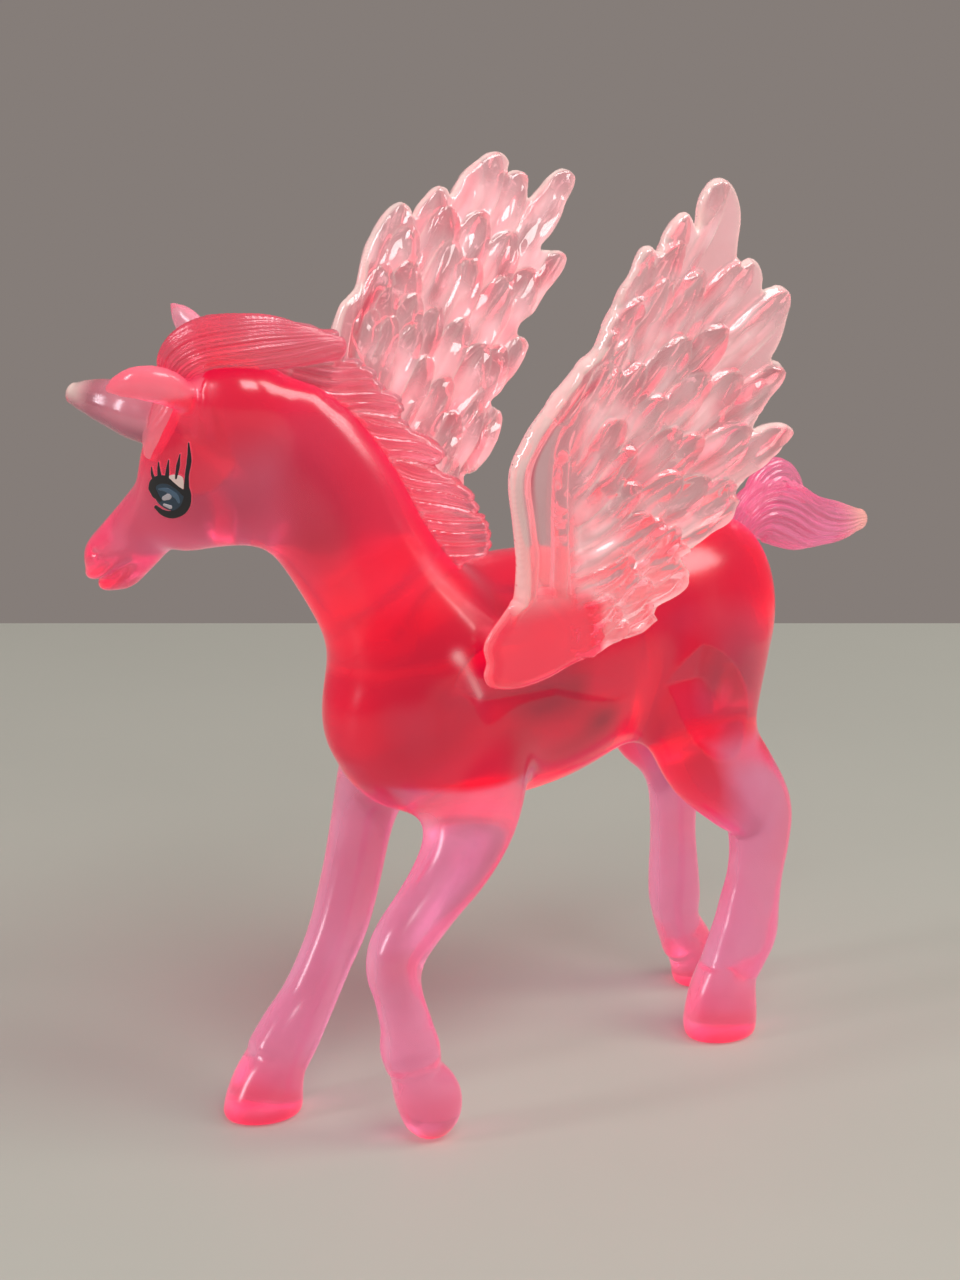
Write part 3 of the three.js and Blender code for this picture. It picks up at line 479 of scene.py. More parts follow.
# The body
def body_parts():
    parts = [loft([[0, y, z, w, d] for y, z, w, d in TRUNK], X, start=3.2, end=5.2),
             loft([[*neck_point(s, z), w, d] for s, z, w, d in NECK], NECK_LEFT, end=5.2),
             loft(head_rows([f, 0, u, w, d] for f, u, w, d in HEAD), HEAD_LEFT, start=3.0, end=3.2),
             loft(head_rows(CHEEK), HEAD_LEFT, start=3.4, end=1.6)]
    parts += [ball(centre, radii) for centre, radii in CHEST]
    for sign in SIGN.values():
        parts += [ball((sign * x, y, z), radii) for (x, y, z), radii in FLANKS]
    parts.append(ball(head_point(*CROWN[0]), CROWN[1], HEAD_AXES.T))
    for rows in LEGS.values():
        deep = rows[-1][4]
        parts.append(loft(rows, X, start=deep, end=deep * 0.7))
    for rows in HOOVES.values():
        parts.append(loft(rows, X, n=30, level=True))
    for rows in EARS.values():
        parts.append(loft(head_rows(rows), HEAD_UP, end=0.3))
    for side in SIGN:
        root, top = wing_point(side, 0, 0, BOSS_TOP - BOSS_DEPTH), wing_point(side, 0, 0, BOSS_TOP)
        up = wing_axes(side)[1]
        parts.append(loft([[*root, BOSS_ROOT, BOSS_ROOT], [*top, BOSS_TIP, BOSS_TIP]], up, n=12))
    return parts


def body_tones(v, n):
    """How deep, plum, cream and hazy the plastic looks: the trunk and neck are thick and the legs thin. The
    plum is painted shade, in patches on the haunch, under the wings, low on the flanks and on the jaw and
    throat, and the backs of the legs are made deeper red as painted shade, where the back of the thighs and
    the jaw show the darker side of the room. The glint on the near shoulder, the paler sides of the legs that
    face the window and the glow at the soles of the hooves are painted light."""
    x, y, z = v.T
    both = np.stack([np.abs(x), y, z], 1)
    leg_side = soft(both[:, 0], 2.8, 4.0)
    # Trunk and legs
    fore = 1 - leg_side * soft(z, 35.3, 34.5) * soft(y, 2.5, -0.5)
    fore = fore * (1 - 0.6 * soft(n[:, 2], -0.3, -0.8) * soft(y, 1, -3))
    # The haunch, where a patch of painted shade in plum takes the place of deep red
    haunch = leg_side * near(v, (0, 26.4, 39.8), (16, 5.4, 6.6))
    thigh = 19 + (40 - z) * 0.5
    hind = np.maximum(soft(z, 31.5, 34.5) * (1 - 0.72 * haunch),
                      soft(y, thigh + 2, thigh - 2) * soft(z, 22.5, 26))
    deep = np.where(y < 8, fore, 1) * soft(z, 27, 30)
    deep = np.where(y < 8, deep, deep + soft(both[:, 0], 1.6, 4.6) * (hind - deep))
    deep = deep * (1 - 0.25 * near(v, (6, 21.5, 46), (4, 5, 3)))
    patchy = noise(v / [4, 5, 4.2], 23)
    deep = np.clip(deep * (1.04 + 0.2 * noise(v / [7, 7, 6], 11)), 0, 1)
    # Painted shade in plum: under the wings and at their roots, behind the shoulder, low on the flanks, at
    # the top of the far foreleg and a touch on the chest
    flank_shade = near(both, (7, 7.5, 39), (4, 8, 6)) + near(v, (4, -1, 51), (5, 5, 4))
    plum_shade = haunch * (1 + 0.2 * patchy) + flank_shade * np.clip(0.4 + 0.9 * patchy, 0, 1)
    plum_shade += 0.3 * leg_side * near(v, (-7.5, -9, 31), (4, 4, 2.6)) + 0.04 * near(v, (2, -19, 38), (9, 7, 6))
    plum_shade += 0.25 * near(v, (6, 6, 33), (7, 12, 4)) + 0.5 * near(both, (7.5, -1.5, 39), (3.5, 4.5, 6))
    deep = np.maximum(deep, 0.9 * near(v, (5, 18.6, 44), (4, 3.2, 3.2)))
    # Neck and head
    f, l, u = in_head(v).T
    profile = np.stack([f, u], -1)
    head = soft(f, -9, -5) * soft(z, 56, 60)
    s = (v - neck_point(0, 0)) @ NECK_FORWARD
    neck = soft(z, 50, 56) * (1 - head)
    throat = soft(s - (z - 44) * 0.62, -1, 6.5)
    face = soft(u + 0.35 * f, 2.5, -4.5)
    deep = deep * (1 - neck * (0.12 + 0.4 * throat)) * (1 - head * (0.05 + 0.36 * face))
    # Painted shade in plum on the jaw and the throat
    plum_shade += head * 0.32 * near(profile, (0.5, -5), (6.5, 5))
    plum_shade += neck * 0.32 * near(np.stack([s, z], -1), (9, 57), (6, 8))
    lips = near(profile, (16.2, -16), (2.6, 2.4))
    temple = head * near(profile, (-2.5, 2), (5.5, 6))
    deep = np.maximum(deep, head * lips)
    # Painted shade on the backs of the legs, then the ears, and the hooves with a painted glow at their soles
    # Painted shade: the backs of the legs, and the back of the hock most, are made deeper red
    rear = soft(n[:, 1], 0.35, 0.9) * (z < 33) * leg_side
    hock_shade = soft(n[:, 1], 0.1, 0.6) * near(v, (8, 30, 31), (4, 3, 2.8))
    deep = np.maximum(deep, np.maximum(rear * 0.6 * np.clip(soft(z, 14, 20) + 0.25, 0, 1), hock_shade))
    ear = soft(u, 5.6, 6.6) * (f > 0)
    near_ear = soft(l, -1, 1)
    deep, plum_shade = faded(deep, 0.05 + 0.6 * near_ear, ear), plum_shade * (1 - ear)
    # The hooves are deeper red and their soles deepest, as a painted glow
    hoof = soft(z, 7.2, 3.8)
    deep = np.maximum(deep, hoof * (0.28 + 0.55 * soft(z, 2.2, 0.6)))
    # The painted glint on the near shoulder, and the sides of the legs that face the window, made paler as
    # painted light
    way = PAINTED_GLINT_END - PAINTED_GLINT_START
    reach = np.clip((v - PAINTED_GLINT_START) @ way / (way @ way), 0, 1)
    off = v - PAINTED_GLINT_START - reach[:, None] * way
    glint = np.exp(-np.sum(off ** 2, axis=1) / (0.7 - 0.25 * reach) ** 2)
    # Painted light: the sides of the legs that face the window are made paler
    painted_lit_side = soft(n @ np.array([-0.64, -0.77, 0]), 0.4, 0.9) * soft(z, 34, 31) * (1 - deep)
    cuff = leg_side * soft(z, 35, 34.3) * soft(z, 28, 32) * soft(y, 2.5, -0.5)
    haze = ear * (0.4 + 0.6 * near_ear) + 0.6 * lips + 0.22 * temple + 0.8 * glint + 0.6 * painted_lit_side
    haze += 0.2 * cuff + 0.45 * plum_shade * (1 - head) + 0.09 * soft(z, 25, 17) * (1 - hoof)
    return {"deep": deep * (1 - 0.5 * glint), "plum_shade": plum_shade, "haze": haze,
            "rim": ear * (0.5 - 0.38 * near_ear) + 0.7 * glint}


def mouth(v, n):
    """Presses the slit of the mouth and two nostrils into the muzzle, and lifts the lips beside the slit."""
    f, l, u = in_head(v).T
    slit, share = along_line(f, u, SLIT)
    fade = np.interp(share, [0, 0.12, 0.7, 1], [0.9, 1, 0.8, 0.1])
    push = fade * (0.3 * bell(slit - 0.85, 0.55) - 0.62 * bell(slit, 0.32))
    hole = np.hypot(f - NOSTRIL[0], (u - NOSTRIL[1]) * 1.3)
    push = push - 0.35 * bell(hole, 0.5) * (np.abs(l) > 0.8)
    return v + n * (push * soft(f, 8.5, 10.5))[:, None]


# Wings
def wing_axes(side):
    s = SIGN[side]
    up = np.array([s * math.sin(LEAN), 0.0, math.cos(LEAN)])
    out = s * np.cross(Y, up)
    return Y, up, out


def wing_point(side, u, v, w=0.0):
    rear, up, out = wing_axes(side)
    centre = PIVOT * np.array([SIGN[side], 1, 1])
    u, v, w = (np.asarray(t, float)[..., None] for t in (u, v, w))
    return centre + u * rear + v * up + w * out


def inside_polygon(u, v, poly):
    """Signed distance to a closed polygon, positive inside."""
    p = np.asarray(poly, float)
    best = np.full(u.shape, 1e9)
    inside = np.zeros(u.shape, bool)
    for (ax, ay), (bx, by) in zip(p, np.roll(p, -1, 0)):
        dx, dy = bx - ax, by - ay
        t = np.clip(((u - ax) * dx + (v - ay) * dy) / max(dx * dx + dy * dy, 1e-12), 0, 1)
        best = np.minimum(best, np.hypot(u - ax - t * dx, v - ay - t * dy))
        crosses = ((ay > v) != (by > v)) & (u < (bx - ax) * (v - ay) / (by - ay + 1e-12) + ax)
        inside ^= crosses
    return np.where(inside, best, -best)


def inside_curve(u, v, ring, n):
    return inside_polygon(u, v, spline(ring + ring[:1], n))


def along_line(u, v, path):
    """Distance to a polyline, and the share of its length at the nearest point."""
    p = np.asarray(path, float)
    lengths = np.linalg.norm(np.diff(p, axis=0), axis=1)
    total, done = lengths.sum(), 0.0
    best, share = np.full(u.shape, 1e9), np.zeros(u.shape)
    for (ax, ay), (bx, by), length in zip(p[:-1], p[1:], lengths):
        dx, dy = bx - ax, by - ay
        t = np.clip(((u - ax) * dx + (v - ay) * dy) / (dx * dx + dy * dy), 0, 1)
        d = np.hypot(u - ax - t * dx, v - ay - t * dy)
        closer = d < best
        best = np.where(closer, d, best)
        share = np.where(closer, (done + t * length) / total, share)
        done += length
    return best, share


def slab(u, v, e, front, back, place, rim=0.5, extra=None):
    """A closed plate over the grid where e, the distance inside its outline, is positive.
    front and back are how far its faces stand off the middle, and place puts (u, v, w) in space.
    extra, named values over the grid, comes back with one value for each point."""
    step = u[0, 1] - u[0, 0]
    gv, gu = np.gradient(e, step)
    inside = e > 0
    g2 = np.maximum(gu ** 2 + gv ** 2, 0.2)
    cell = inside[:-1, :-1] | inside[1:, :-1] | inside[:-1, 1:] | inside[1:, 1:]
    used = np.zeros_like(inside)
    for a in (slice(0, -1), slice(1, None)):
        for b in (slice(0, -1), slice(1, None)):
            used[a, b] |= cell
    edge = used & ~inside
    pu = np.where(edge, u - np.clip(e * gu / g2, -step, step), u)
    pv = np.where(edge, v - np.clip(e * gv / g2, -step, step), v)
    depth = np.clip(e, 0, rim)
    dome = np.sqrt(np.maximum(1 - (1 - depth / rim) ** 2, 0))
    wf, wb = front * dome, -back * dome
    mid = (front - back) / 2 * (1 - dome) * 0.6
    wf, wb = np.where(edge, mid, wf + mid), np.where(edge, mid, wb + mid)
    index = -np.ones(u.shape, int)
    index[used] = np.arange(used.sum())
    lower = index.copy()
    lower[inside] = used.sum() + np.arange(inside.sum())
    verts = np.vstack([place(pu[used], pv[used], wf[used]), place(pu[inside], pv[inside], wb[inside])])
    r, c = np.nonzero(cell)

    def quads(ix, flip):
        q = np.stack([ix[r, c], ix[r, c + 1], ix[r + 1, c + 1], ix[r + 1, c]], 1)
        return q[:, ::-1] if flip else q
    normal = np.cross(place(1, 0, 0) - place(0, 0, 0), place(0, 1, 0) - place(0, 0, 0))
    flip = float(np.sum(normal * (place(0, 0, 1) - place(0, 0, 0)))) < 0
    tone = {name: np.concatenate([value[used], value[inside]]) for name, value in (extra or {}).items()}
    return verts, np.vstack([quads(index, flip), quads(lower, not flip)]), tone


def feathers(side):
    """The feathers of a wing as they are laid, long ones first: root, tip, half width, thickness and seed."""
    tips = np.array(TIPS[side])
    n = len(tips)
    roots = np.linspace(ROOTS[0], ROOTS[1], n)
    laid = []
    for row, (share, base) in enumerate(((1.0, 0.5), (0.8, 0.57), (0.63, 0.64), (0.47, 0.71), (0.32, 0.78))):
        middle = row % 2
        for i in range(n - middle)[::-1]:
            root, tip = roots[i], tips[i]
            if middle:
                root, tip = (root + roots[i + 1]) / 2, (tip + tips[i + 1]) / 2
            a, b = max(i - 1, 0), min(i + 1, n - 1)
            shift = 0.03 * math.sin(5.1 * i + 2.3 * row)
            end = root + (tip - root) * (share + (shift if row else 0))
            spread = [roots[k] + (tips[k] - roots[k]) * share for k in (a, b)]
            half = min(0.56 * np.linalg.norm(spread[1] - spread[0]) / (b - a), 2.5)
            laid.append((root, end, max(half, 1.15), base, 20 * row + i))
    return laid


def wing_mesh(side):
    u, v = np.meshgrid(np.arange(-9.5, 29.5, WING_STEP), np.arange(-5.0, 46.5, WING_STEP))
    arm = spline(ARM[side], 40)
    e = inside_curve(u, v, EDGE[side], 3 * len(EDGE[side]))
    front, back = np.full(u.shape, WEB), np.full(u.shape, WEB)
    rim = bell(np.maximum(e, 0), 0.42)
    haze, deep = np.full(u.shape, 0.35), np.zeros(u.shape)
    for root, tip, half, base, seed in feathers(side):
        axis = tip - root
        length = np.linalg.norm(axis)
        axis = axis / length
        s = (u - root[0]) * axis[0] + (v - root[1]) * axis[1]
        d = (u - root[0]) * axis[1] - (v - root[1]) * axis[0]
        left = length - s
        taper = np.clip(left / (2.1 * half), 0, 1)
        width = half * np.sqrt(np.maximum(1 - (1 - taper) ** 2, 0))
        width = width * np.interp(s, [0, 0.35 * length], [0.75, 1])
        edge = np.where((s > 0) & (left > 0), width - np.abs(d), -1.0)
        x = np.clip(d / np.maximum(width, 0.3), -1, 1)
        long = np.stack([s / 6.5 + seed, d / 0.95 + 7.1 * seed], -1)
        short = np.stack([s / 2.7 + seed, d / 1.5 + 3.3 * seed], -1)
        chip = 0.3 * noise(long, seed) + 0.42 * np.abs(noise(short, seed + 9)) - 0.12
        chip2 = 0.24 * noise(long + 3.7, seed + 50) + 0.34 * np.abs(noise(short * 0.9 + 1.2, seed + 60)) - 0.1
        shaft = bell(d + 0.15 * np.sin(s), 0.25)
        tilt = 0.16 * np.exp(-np.maximum(left - 0.5, 0) / 2.6)
        lip = 0.09 * bell(edge - 0.32, 0.22)
        top = base + tilt + chip + lip + 0.12 * (1 - x ** 2) - 0.1 * x + 0.05 * shaft
        under = min(base, 0.62) + chip2 + lip + 0.08 * (1 - x ** 2) + 0.05 * x
        cover = np.clip(edge / 0.24, 0, 1)
        front, back = faded(front, top, cover), faded(back, under, cover)
        bead = 0.4 * bell(edge - 0.12, 0.16)
        rim = np.where(edge > 0, rim * np.clip(1 - edge / 0.3, 0, 1) + bead, rim)
        rim = np.maximum(rim, 0.12 * shaft * (edge > 0))
        veil = 0.5 + 0.75 * grain(s / 3.6 + seed, d / 1.1 + seed, seed + 3)
        veil = np.clip(veil, 0, 1) * soft(left, 0.8, 6)
        blush = 0.4 * np.maximum(noise(short * 0.7, seed + 21), 0)
        haze, deep = faded(haze, veil, cover), faded(deep, blush, cover)
    rim = np.maximum(rim, bell(np.maximum(e, 0), 0.3))
    inner = spline(INNER_RIB, 30)
    span, _ = along_line(u, v, arm)
    behind, _ = along_line(u, v, inner)
    panel = inside_polygon(u, v, np.vstack([arm[4:30], inner[::-1]]))
    smooth = soft(behind, 2.6, 0.6) * (v > 2) * (v < 26)
    front = faded(front, 0.72 + 0.05 * grain(u / 2.2, v / 3.1, 6), smooth)
    rim, deep = rim * (1 - smooth), faded(deep, 0.12, smooth)
    haze = haze * (1 - 0.7 * smooth) + 0.12 * soft(v, 24, 40) + 0.02
    flat = soft(panel, 0.1, 0.8)
    front = faded(front, 0.34 + 0.04 * grain(u / 2, v / 4, 7), flat)
    back = faded(back, 0.34, flat)
    haze, deep = haze * (1 - flat), (deep + 0.06 * soft(v, 34, 16)) * (1 - flat)
    for path, radius in zip((arm, inner), RIBS):
        d, share = along_line(u, v, path)
        radius = radius * np.interp(share, [0, 0.15, 0.8, 1], [1.1, 1, 0.85, 0.5])
        ridge = np.sqrt(np.maximum(1 - (d / (radius * 1.2)) ** 2, 0))
        front = np.maximum(front, 0.3 + ridge * radius)
        back = np.maximum(back, ridge * radius * 0.72)
        haze = haze * soft(d, 0.8, 1.6) + 0.16 * soft(d, 1.6, 0.8)
        deep = np.maximum(deep, 0.16 * soft(d, 1.6, 0.8))
    hem, share = along_line(u, v, arm + [1.35, 0.0])
    hem = 0.85 * soft(hem, 0.75, 0.15) * np.interp(share, [0, 0.4, 0.55, 0.9, 1], [0.2, 0.3, 1, 0.9, 0])
    paddle = inside_curve(u, v, PADDLE, 60)
    e = np.maximum(e, paddle)
    root = soft(paddle, -0.1, 1.4)
    front = faded(front, 0.85 + 0.05 * grain(u / 3, v / 3, 5), root)
    back = faded(back, 0.8, root)
    rim = rim * (1 - np.clip(paddle + 0.4, 0, 1))
    rim = np.maximum(rim, 0.85 * soft(e, 0.95, 0.4) * soft(span, 1.8, 1.2) * soft(v, 2.5, 6))
    deep = np.max([deep, hem, soft(paddle, -1.2, 0) * soft(v, 8, 3)], axis=0)
    haze = np.clip(np.max([haze, 0.36 * root, 0.85 * rim], axis=0), 0, 1)
    return slab(u, v, e, np.minimum(front, FRONT_MOST), np.minimum(back, BACK_MOST),
                lambda a, b, c: wing_point(side, a, b, c), extra={"rim": rim, "haze": haze, "deep": deep})


# Mane, forelock, tail and horn
def crest_place(a, b, c):
    a, b, c = (np.asarray(t, float)[..., None] for t in (a, b, c))
    return np.array([0.0, NECK_Y, 0.0]) - a * NECK_FORWARD + b * Z + c * NECK_LEFT


def crest_mesh(skin):
    """The fin of the mane: five locks, each combed its own way, laid over one another from the bottom up."""
    u, v = np.meshgrid(np.arange(-19.5, 10.0, MANE_STEP), np.arange(52.0, 80.0, MANE_STEP))
    e = np.full(u.shape, -9.0)
    front, back, rim = np.full(u.shape, 0.5), np.full(u.shape, 0.5), np.zeros(u.shape)
    for k, (slope, ring) in enumerate(LOCKS):
        edge = inside_curve(u, v, ring, 5 * len(ring))
        c, t = math.cos(math.radians(slope)), math.sin(math.radians(slope))
        along = u * c + v * t
        across = v * c - u * t + 0.22 * np.sin(along * 0.7 + k)
        across += 0.2 * grain(along / 3, v / 2, 3 + k)
        strand = np.abs(np.sin(np.pi * across / STRAND + k))
        fine = np.abs(np.sin(np.pi * across / FINE_STRAND + 2.2 * k))
        edge = edge - 0.3 * (1 - strand) * np.clip(1 - edge / 1.2, 0, 1)
        cover = np.clip(edge / 0.22, 0, 1)
        lip = 0.1 * bell(edge - 0.35, 0.25)
        top = 0.56 + 0.24 * strand ** 0.7 + 0.07 * fine + lip + 0.02 * k
        under = 0.56 + 0.24 * np.abs(np.sin(np.pi * across / STRAND + k + 0.8)) ** 0.7 + 0.05 * fine
        front, back = faded(front, top, cover), faded(back, under, cover)
        rim = faded(rim, 0.5 * (1 - strand) ** 2 + 0.7 * bell(edge - 0.2, 0.25), cover)
        e = np.maximum(e, edge)
    above = np.empty(u.size)
    for i, point in enumerate(crest_place(u.ravel(), v.ravel(), 0 * u.ravel())):
        foot, normal, _, far = skin.find_nearest(Vector(point))
        above[i] = math.copysign(far, (Vector(point) - foot).dot(normal))
    above = above.reshape(u.shape)
    e = np.minimum(e, above + 0.4)
    swell = 0.2 * np.clip(1 - above / 2.5, 0, 1)
    tone = {"rim": rim, "deep": 0.15 + 0.5 * soft(above, 3.4, 0.3)}
    return slab(u, v, e, np.minimum(front + swell, LEFT_MOST), np.minimum(back + swell, RIGHT_MOST),
                crest_place, rim=0.4, extra=tone)


def combed(count, fine, lean, depth):
    """A carve for lofts: strands that lean round the loft as they run along it."""
    def carve(s, a):
        turn = a + lean * s + 0.35 * np.sin(4.2 * s + 1)
        ends = np.sin(np.pi * np.clip(0.06 + 0.9 * s, 0, 1)) ** 0.5
        strands = np.abs(np.sin(count * turn / 2)) ** 0.6
        return 1 + ends * (depth * (strands - 0.7) + depth * 0.3 * np.cos(fine * turn + 2 * np.sin(5 * s)))
    return carve


def forelock_meshes(skin):
    crown = loft(head_rows(FORELOCK), HEAD_LEFT, n=120, sides=170, start=0.9, end=1.1,
                 carve=combed(11, 37, 2.9, 0.16))
    low = []
    for f, u, w, d in BROW_LOCK:
        hit = skin.ray_cast(Vector(head_point(f, 12, u)), Vector(-HEAD_LEFT))[0]
        low.append([*(np.array(hit) - 0.3 * HEAD_LEFT), w, d])
    return crown, loft(low, HEAD_FORWARD, n=70, sides=90, start=0.8, end=0.6, carve=combed(6, 17, 0.6, 0.06))


def tail_meshes():
    main = loft([[0, y, z, w, d] for y, z, w, d in TAIL], X, n=130, sides=180, start=1.0, end=1.5,
                carve=combed(9, 25, 0.5, 0.2))
    hump = loft([[0.2, y, z, w, d] for y, z, w, d in TAIL_HUMP], X, n=70, sides=110, start=0.6, end=0.5,
                carve=combed(5, 15, 0.4, 0.14))
    return main, hump


def horn_mesh():
    rows = head_rows([f, 0, u, r, r] for f, u, r in CONE)
    v, f = loft(rows, HEAD_LEFT, n=70, sides=80, end=0.7,
                carve=lambda s, a: 1 + 0.012 * np.sin(5 * a + 3 * s) + 0.01 * np.sin(26 * s))
    ahead, _, above = in_head(v).T
    above = above - (1 + 0.17 * ahead)
    # Painted highlight: cream along the upper side of the tip; painted shade: the plum on the underside of
    # the horn
    rim = soft(ahead, 12, 15.5) * soft(above, -1, 0.8)
    haze = np.maximum(rim, 0.6 * soft(ahead, 14, 9))
    return v, f, {"rim": rim, "haze": haze, "plum_shade": 0.7 * soft(above, 0.4, -1.2)}


# Eyes
def eye_parts():
    """A grid about the middle of the printed eye, and for each colour its shape, its height and its root."""
    u, v = np.meshgrid(np.arange(-2.4, 2.6, EYE_STEP), np.arange(-2.6, 5.3, EYE_STEP))

    def path(pixels, steps):
        points = [[(x - EYE_AT[0]) / HEAD_PX, (EYE_AT[1] - y) / HEAD_PX] for x, y in pixels]
        return spline(points, steps) if steps else points

    def stroke(pixels, wide, steps):
        d, share = along_line(u, v, path(pixels, steps))
        return np.interp(share, np.linspace(0, 1, len(wide)), wide) - d
    black = np.max([stroke(*line) for line in BLACK_LINES], axis=0)
    glint = np.max([stroke(*line) for line in GLINT_LINES], axis=0)
    iris = inside_polygon(u, v, path(IRIS, 50))
    white = inside_polygon(u, v, path(WHITE, 40))
    backing = np.max([black, iris, white], axis=0) + 0.08
    return u, v, (("backing", backing, 0.012, 0.3), ("white", white, 0.03, 0.06),
                  ("black", black, 0.055, 0.06), ("iris", iris, 0.035, 0.06),
                  ("pale", stroke(*SLATE_LINE), 0.06, 0.06), ("glint", glint, 0.085, 0.06))


def eye_meshes(skin, side):
    """Lays the print on the head: the left eye where the camera sees it, the right one mirrored."""
    lens = np.array([0, 0, CAM_AIM]) + CAM_BACK * CAM_FAR
    u, v, layers = eye_parts()
    spots, outward = np.empty(u.shape + (3,)), np.empty(u.shape + (3,))
    for i in np.ndindex(u.shape):
        px, py = EYE_AT[0] + u[i] * HEAD_PX - MIDDLE_PX[0], MIDDLE_PX[1] - (EYE_AT[1] - v[i] * HEAD_PX)
        ray = unit(-CAM_BACK + CAM_RIGHT * px / FOCAL_PX + CAM_UP * py / FOCAL_PX)
        hit, normal = skin.ray_cast(Vector(lens), Vector(ray))[:2]
        if hit is None:
            hit, normal = skin.find_nearest(Vector(lens + ray * ((HEAD_AT - lens) @ ray)))[:2]
        if side == "right":
            f, l, h = in_head(np.array(hit))
            hit, normal = skin.ray_cast(Vector(head_point(f, -12, h)), Vector(HEAD_LEFT))[:2]
            if hit is None:
                hit, normal = skin.find_nearest(Vector(head_point(f, -l, h)))[:2]
        spots[i], outward[i] = hit, normal
    inner = slice(1, -1)
    for _ in range(3):
        outward[inner, inner] = unit(outward[:-2, inner] + outward[2:, inner]
                                     + outward[inner, :-2] + outward[inner, 2:])

    def place(a, b, c):
        r = np.clip((np.asarray(b, float) - v[0, 0]) / EYE_STEP, 0, u.shape[0] - 1.001)
        q = np.clip((np.asarray(a, float) - u[0, 0]) / EYE_STEP, 0, u.shape[1] - 1.001)
        i, j = r.astype(int), q.astype(int)
        fr, fq = (r - i)[..., None], (q - j)[..., None]

        def at(t):
            return faded(faded(t[i, j], t[i, j + 1], fq), faded(t[i + 1, j], t[i + 1, j + 1], fq), fr)
        return at(spots) + at(outward) * np.asarray(c, float)[..., None]
    for colour, e, high, low in layers:
        yield colour, *slab(u, v, e, np.full(u.shape, high), np.full(u.shape, low), place, rim=0.06)[:2]


# Materials
def node(nt, kind, **sets):
    n = nt.nodes.new(kind)
    for key, value in sets.items():
        if hasattr(n, key):
            setattr(n, key, value)
        else:
            n.inputs[key.replace("_", " ")].default_value = value
    return n


def plastic(name, pale, deep, plum_shade, cream, milk, absorb, rough, coat, glow, glow_by, edge_by):
    """Clear moulded plastic: pale, or deep, plum and cream by the mesh's deep, plum and rim, where the plum
    is a painted shade and the cream of rim is partly a painted highlight. milk is the share that scatters
    where its haze is 0 and where it is 1, absorb what a millimetre takes from red, green and blue, and coat a
    clear coat's weight and roughness. It shines in the two colours of glow, for pale and for deep, by glow_by
    face on and by edge_by more at its outlines."""
    mat = bpy.data.materials.new(name)
    mat.use_nodes = True
    nt = mat.node_tree
    nt.nodes.clear()
    link = nt.links.new
    bsdf = node(nt, "ShaderNodeBsdfPrincipled", IOR=1.49, Specular_IOR_Level=0.35, Coat_Weight=coat[0],
                Coat_Roughness=coat[1])
    coords = node(nt, "ShaderNodeTexCoord")
    big = node(nt, "ShaderNodeTexNoise", Scale=240.0, Detail=3.0, Roughness=0.55)
    fine = node(nt, "ShaderNodeTexNoise", Scale=900.0, Detail=2.0, Roughness=0.5)
    for t in (big, fine):
        link(coords.outputs["Object"], t.inputs["Vector"])
    ramp = node(nt, "ShaderNodeValToRGB")
    low, high = ramp.color_ramp.elements
    low.position, high.position = 0.32, 0.68
    low.color, high.color = (pale[0] * 0.96, pale[1] * 0.86, pale[2] * 0.86, 1), (*pale, 1)
    link(big.outputs["Fac"], ramp.inputs["Fac"])

    def mixed(attribute, a, b):
        value = node(nt, "ShaderNodeAttribute", attribute_name=attribute)
        mix = node(nt, "ShaderNodeMix", data_type="RGBA")
        mix.inputs["B"].default_value = (*b, 1)
        link(value.outputs["Fac"], mix.inputs["Factor"])
        if isinstance(a, tuple):
            mix.inputs["A"].default_value = (*a, 1)
        else:
            link(a, mix.inputs["A"])
        return mix.outputs["Result"]

    def ranged(source, low, high):
        m = node(nt, "ShaderNodeMapRange", To_Min=low, To_Max=high)
        link(source, m.inputs["Value"])
        return m.outputs["Result"]
    tint = mixed("rim", mixed("plum_shade", mixed("deep", ramp.outputs["Color"], deep), plum_shade), cream)
    link(tint, bsdf.inputs["Base Color"])
    haze = node(nt, "ShaderNodeAttribute", attribute_name="haze")
    link(ranged(fine.outputs["Fac"], rough * 0.8, rough * 1.2), bsdf.inputs["Roughness"])
    link(ranged(haze.outputs["Fac"], 1 - milk[0], 1 - milk[1]), bsdf.inputs["Transmission Weight"])
    dent = node(nt, "ShaderNodeBump", Strength=0.1, Distance=0.00002)
    link(fine.outputs["Fac"], dent.inputs["Height"])
    link(dent.outputs["Normal"], bsdf.inputs["Normal"])
    side_on = node(nt, "ShaderNodeLayerWeight", Blend=0.35)
    link(ranged(side_on.outputs["Facing"], glow_by, glow_by + edge_by), bsdf.inputs["Emission Strength"])
    link(mixed("plum_shade", mixed("deep", *glow), PLUM_SHADE_GLOW), bsdf.inputs["Emission Color"])
    sees = node(nt, "ShaderNodeLightPath")
    clear = node(nt, "ShaderNodeBsdfTransparent", Color=SHADOW_TINT)
    mix = node(nt, "ShaderNodeMixShader")
    for i, source in enumerate((sees.outputs["Is Shadow Ray"], bsdf.outputs[0], clear.outputs[0])):
        link(source, mix.inputs[i])
    most = max(absorb)
    tint = (*(1 - a / most for a in absorb), 1)
    vol = node(nt, "ShaderNodeVolumeAbsorption", Density=most / MM, Color=tint)
    out = node(nt, "ShaderNodeOutputMaterial")
    link(mix.outputs[0], out.inputs["Surface"])
    link(vol.outputs[0], out.inputs["Volume"])
    return mat


